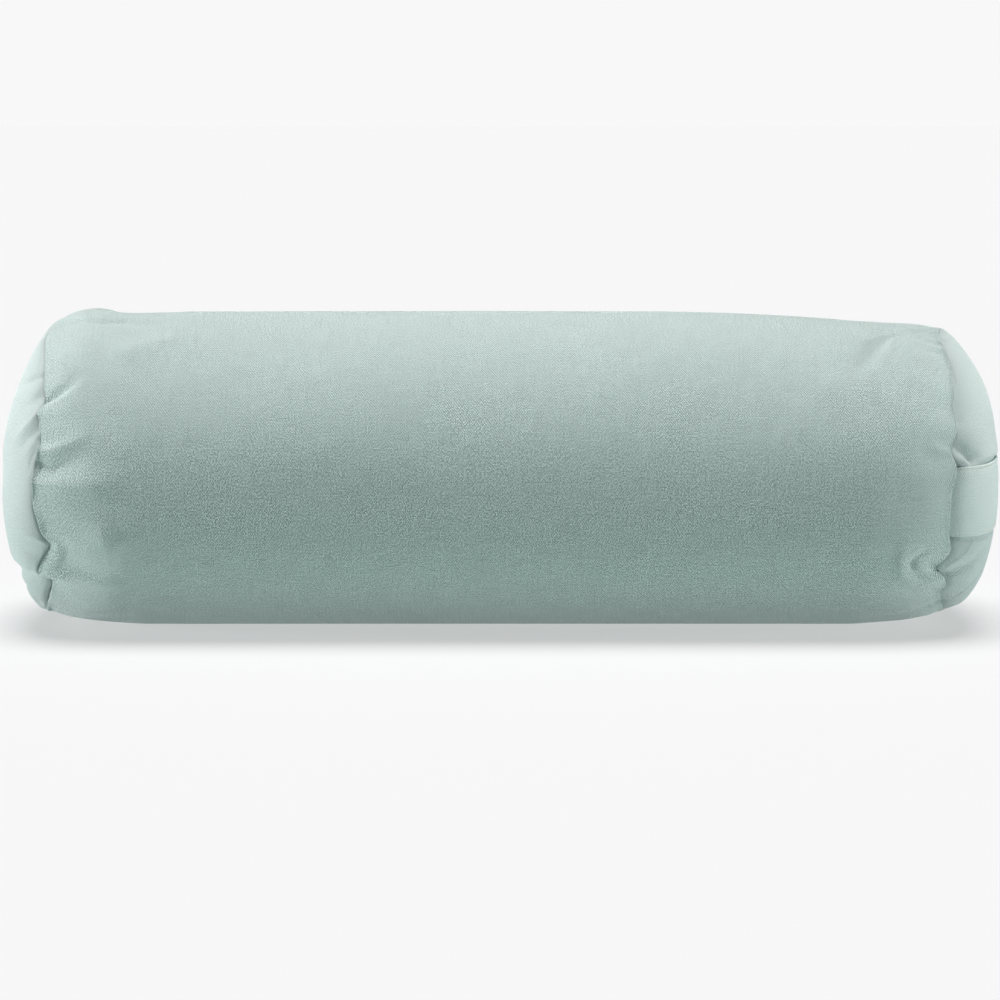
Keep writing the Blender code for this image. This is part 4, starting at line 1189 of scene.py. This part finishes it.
EDGE_ROW = 0.0080
EDGE_STITCH = 0.0024
EDGE_PITCH = 0.0031
BAR_X = 0.2168
BAR_STITCH = 0.0022
BAR_PITCH = 0.0006
SAGE_THREAD = thread_finish("sage_thread", (0.72, 0.84, 0.80))
x = np.arange(-BAR_X + 0.002, BAR_X - 0.001, EDGE_PITCH)
rows = [np.stack([x, np.full(len(x), ZIP_Y + 0.0001), np.full(len(x), WIDEST_HEIGHT + side * EDGE_ROW)], -1)
        for side in (-1, 1)]
z = np.arange(-EDGE_ROW, EDGE_ROW + BAR_PITCH / 2, BAR_PITCH)
bars = [np.stack([np.full(len(z), side * BAR_X), np.full(len(z), ZIP_Y + 0.00025), WIDEST_HEIGHT + z], -1)
        for side in (-1, 1)]
for name, middle, length, thickness in (
    ("opening_stitching", np.concatenate(rows), EDGE_STITCH, 0.00045),
    ("opening_bar_tacks", np.concatenate(bars), BAR_STITCH, 0.00060),
):
    forward = np.broadcast_to([1.0, 0.0, 0.0], middle.shape)
    up = np.broadcast_to([0.0, 1.0, 0.0], middle.shape)
    piece = add_stitches(name, middle, forward, up, length, thickness, SAGE_THREAD)
    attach(piece, "bolster")


# Zip chain
# Each half is one nylon filament wound into flat loops and sewn along the edge of its tape. The heads of the
# two halves interlock, half a turn apart.
COIL_LOW_Y = TAPE_OUTER_Y + 0.0003
COIL_HIGH_Y = COIL_LOW_Y + 0.0018
COIL_OUTER = 0.0029
COIL_BITE = 0.0002
COIL_START = -0.2037
COIL_END = 0.1992
COIL_PITCH = 0.0016
FILAMENT = 0.00058
LOOP_STEPS = 9
COIL_SIDES = 6
SEWN_OUT = 0.0007
SEWN_SWAY = 0.00025
SEWN_SINK = 0.00005
SEWN_DIP = 0.00008
SEWN_RADIUS = 0.00017
SEWN_GIRTH = 0.001
SEWN_SIDES = 5
NYLON_COLOUR = (0.58, 0.66, 0.63)


def tube_points(path, out, radius, columns):
    """Rings of points round a path; out is a direction across it at each point."""
    way = unit(np.gradient(path, axis=0))
    out = unit(out - way * (out * way).sum(1, keepdims=True))
    side = np.cross(out, way)
    around = np.linspace(0, math.tau, columns + 1)[:, None]
    return path[:, None] + radius * (out[:, None] * np.cos(around) + side[:, None] * np.sin(around))


def uneven_gloss(tree, shader, factor, low, high):
    """Give the shader a roughness that goes from low to high with a factor."""
    gloss = add_node(tree, "ShaderNodeMapRange", {"Value": factor, "To Min": low, "To Max": high})
    tree.links.new(gloss.outputs["Result"], shader.inputs["Roughness"])


nylon, tree, shader = new_finish("nylon_coil")
place = add_node(tree, "ShaderNodeTexCoord").outputs["Object"]
cloudy = add_noise(tree, place, 700.0, 3.0)
two_tones(tree, shader, cloudy.outputs["Fac"], darker(NYLON_COLOUR, 0.85), NYLON_COLOUR)
uneven_gloss(tree, shader, cloudy.outputs["Fac"], 0.28, 0.45)
shader.inputs["Coat Weight"].default_value = 0.15

turns = int((COIL_END - COIL_START) / COIL_PITCH) - 1
wound = np.arange(turns * LOOP_STEPS) / LOOP_STEPS
loop = np.stack([np.zeros(len(wound)), np.sin(wound * math.tau), np.cos(wound * math.tau)], -1)
for side, name, node in ((1, "coil_upper", "zip_coil_upper"), (-1, "coil_lower", "zip_coil_lower")):
    phase = 0.25 if side > 0 else 0.75
    half_high = (COIL_HIGH_Y - COIL_LOW_Y - FILAMENT) / 2
    half_wide = (COIL_OUTER + COIL_BITE - FILAMENT) / 2
    middle_z = WIDEST_HEIGHT + side * (COIL_OUTER - COIL_BITE) / 2
    wound_x = COIL_START + COIL_PITCH * (wound + phase)
    wound_y = (COIL_LOW_Y + COIL_HIGH_Y) / 2 + half_high * loop[:, 1]
    wound_z = middle_z + side * half_wide * loop[:, 2]
    path = np.stack([wound_x, wound_y, wound_z], -1)
    out = loop * np.array([0.0, 1.0, side])
    points = tube_points(path, out, FILAMENT / 2, COIL_SIDES)
    length = walked_length(np.linalg.norm(np.diff(path, axis=0), axis=1))
    girth = np.linspace(0, math.pi * FILAMENT, COIL_SIDES + 1)
    coil = cloth_mesh(name, points, np.stack(np.broadcast_arrays(length[:, None], girth), -1), nylon,
                      wraps=True, capped=True)
    sewn_x = np.arange(COIL_START, COIL_END, COIL_PITCH / 4)
    sewn_z = middle_z + side * (SEWN_OUT + SEWN_SWAY * np.sin(sewn_x * math.tau / COIL_PITCH))
    sewn_y = COIL_HIGH_Y - SEWN_SINK + SEWN_DIP * np.cos(sewn_x * math.tau / COIL_PITCH)
    path = np.stack([sewn_x, sewn_y, sewn_z], -1)
    points = tube_points(path, np.broadcast_to([0.0, 1.0, 0.0], path.shape), SEWN_RADIUS, SEWN_SIDES)
    girth = np.linspace(0, SEWN_GIRTH, SEWN_SIDES + 1)
    thread = cloth_mesh(name + "_thread", points, np.stack(np.broadcast_arrays(sewn_x[:, None], girth), -1),
                        SAGE_THREAD, wraps=True, capped=True)
    for piece in (coil, thread):
        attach(piece, "bolster")
        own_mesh(piece)
    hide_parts(node)


# Zip slider, pull and stops
# Die-cast and stamped metal with a satin nickel finish and softly broken edges.
METAL_COLOUR = (0.62, 0.62, 0.60)
nickel, tree, shader = new_finish("satin_nickel")
place = add_node(tree, "ShaderNodeTexCoord").outputs["Object"]
smear = add_noise(tree, place, 350.0, 4.0)
drawn = add_node(tree, "ShaderNodeVectorMath", {0: place, 1: (400.0, 6000.0, 6000.0)}, operation="MULTIPLY")
lines = add_noise(tree, drawn.outputs[0], 1.0, 2.0)
two_tones(tree, shader, smear.outputs["Fac"], darker(METAL_COLOUR, 0.85), METAL_COLOUR)
uneven_gloss(tree, shader, smear.outputs["Fac"], 0.24, 0.42)
add_bump(tree, shader, lines.outputs["Fac"], 0.35, 0.00002)
shader.inputs["Metallic"].default_value = 1.0

EDGE_BREAK = 0.00022
for node, name, body in (
    ("zip_slider", "slider_metal", "slider"),
    ("zip_pull", "pull_metal", "pull"),
    ("zip_top_stop_upper", "top_stop_upper_metal", "bolster"),
    ("zip_top_stop_lower", "top_stop_lower_metal", "bolster"),
    ("zip_bottom_stop", "bottom_stop_metal", "bolster"),
):
    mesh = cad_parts[node].data.copy()
    mesh.name = name
    solid = bmesh.new()
    solid.from_mesh(mesh)
    bmesh.ops.remove_doubles(solid, verts=solid.verts, dist=1e-6)
    bmesh.ops.dissolve_limit(solid, angle_limit=math.radians(2), verts=solid.verts, edges=solid.edges)
    bmesh.ops.recalc_face_normals(solid, faces=solid.faces)
    solid.to_mesh(mesh)
    solid.free()
    mesh.materials.clear()
    mesh.materials.append(nickel)
    mesh.shade_smooth()
    piece = add_object(name, mesh)
    broken = piece.modifiers.new("broken_edges", "BEVEL")
    broken.width = EDGE_BREAK
    broken.segments = 3
    broken.limit_method = "ANGLE"
    broken.angle_limit = math.radians(40)
    broken.harden_normals = True
    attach(piece, body)
    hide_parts(node)
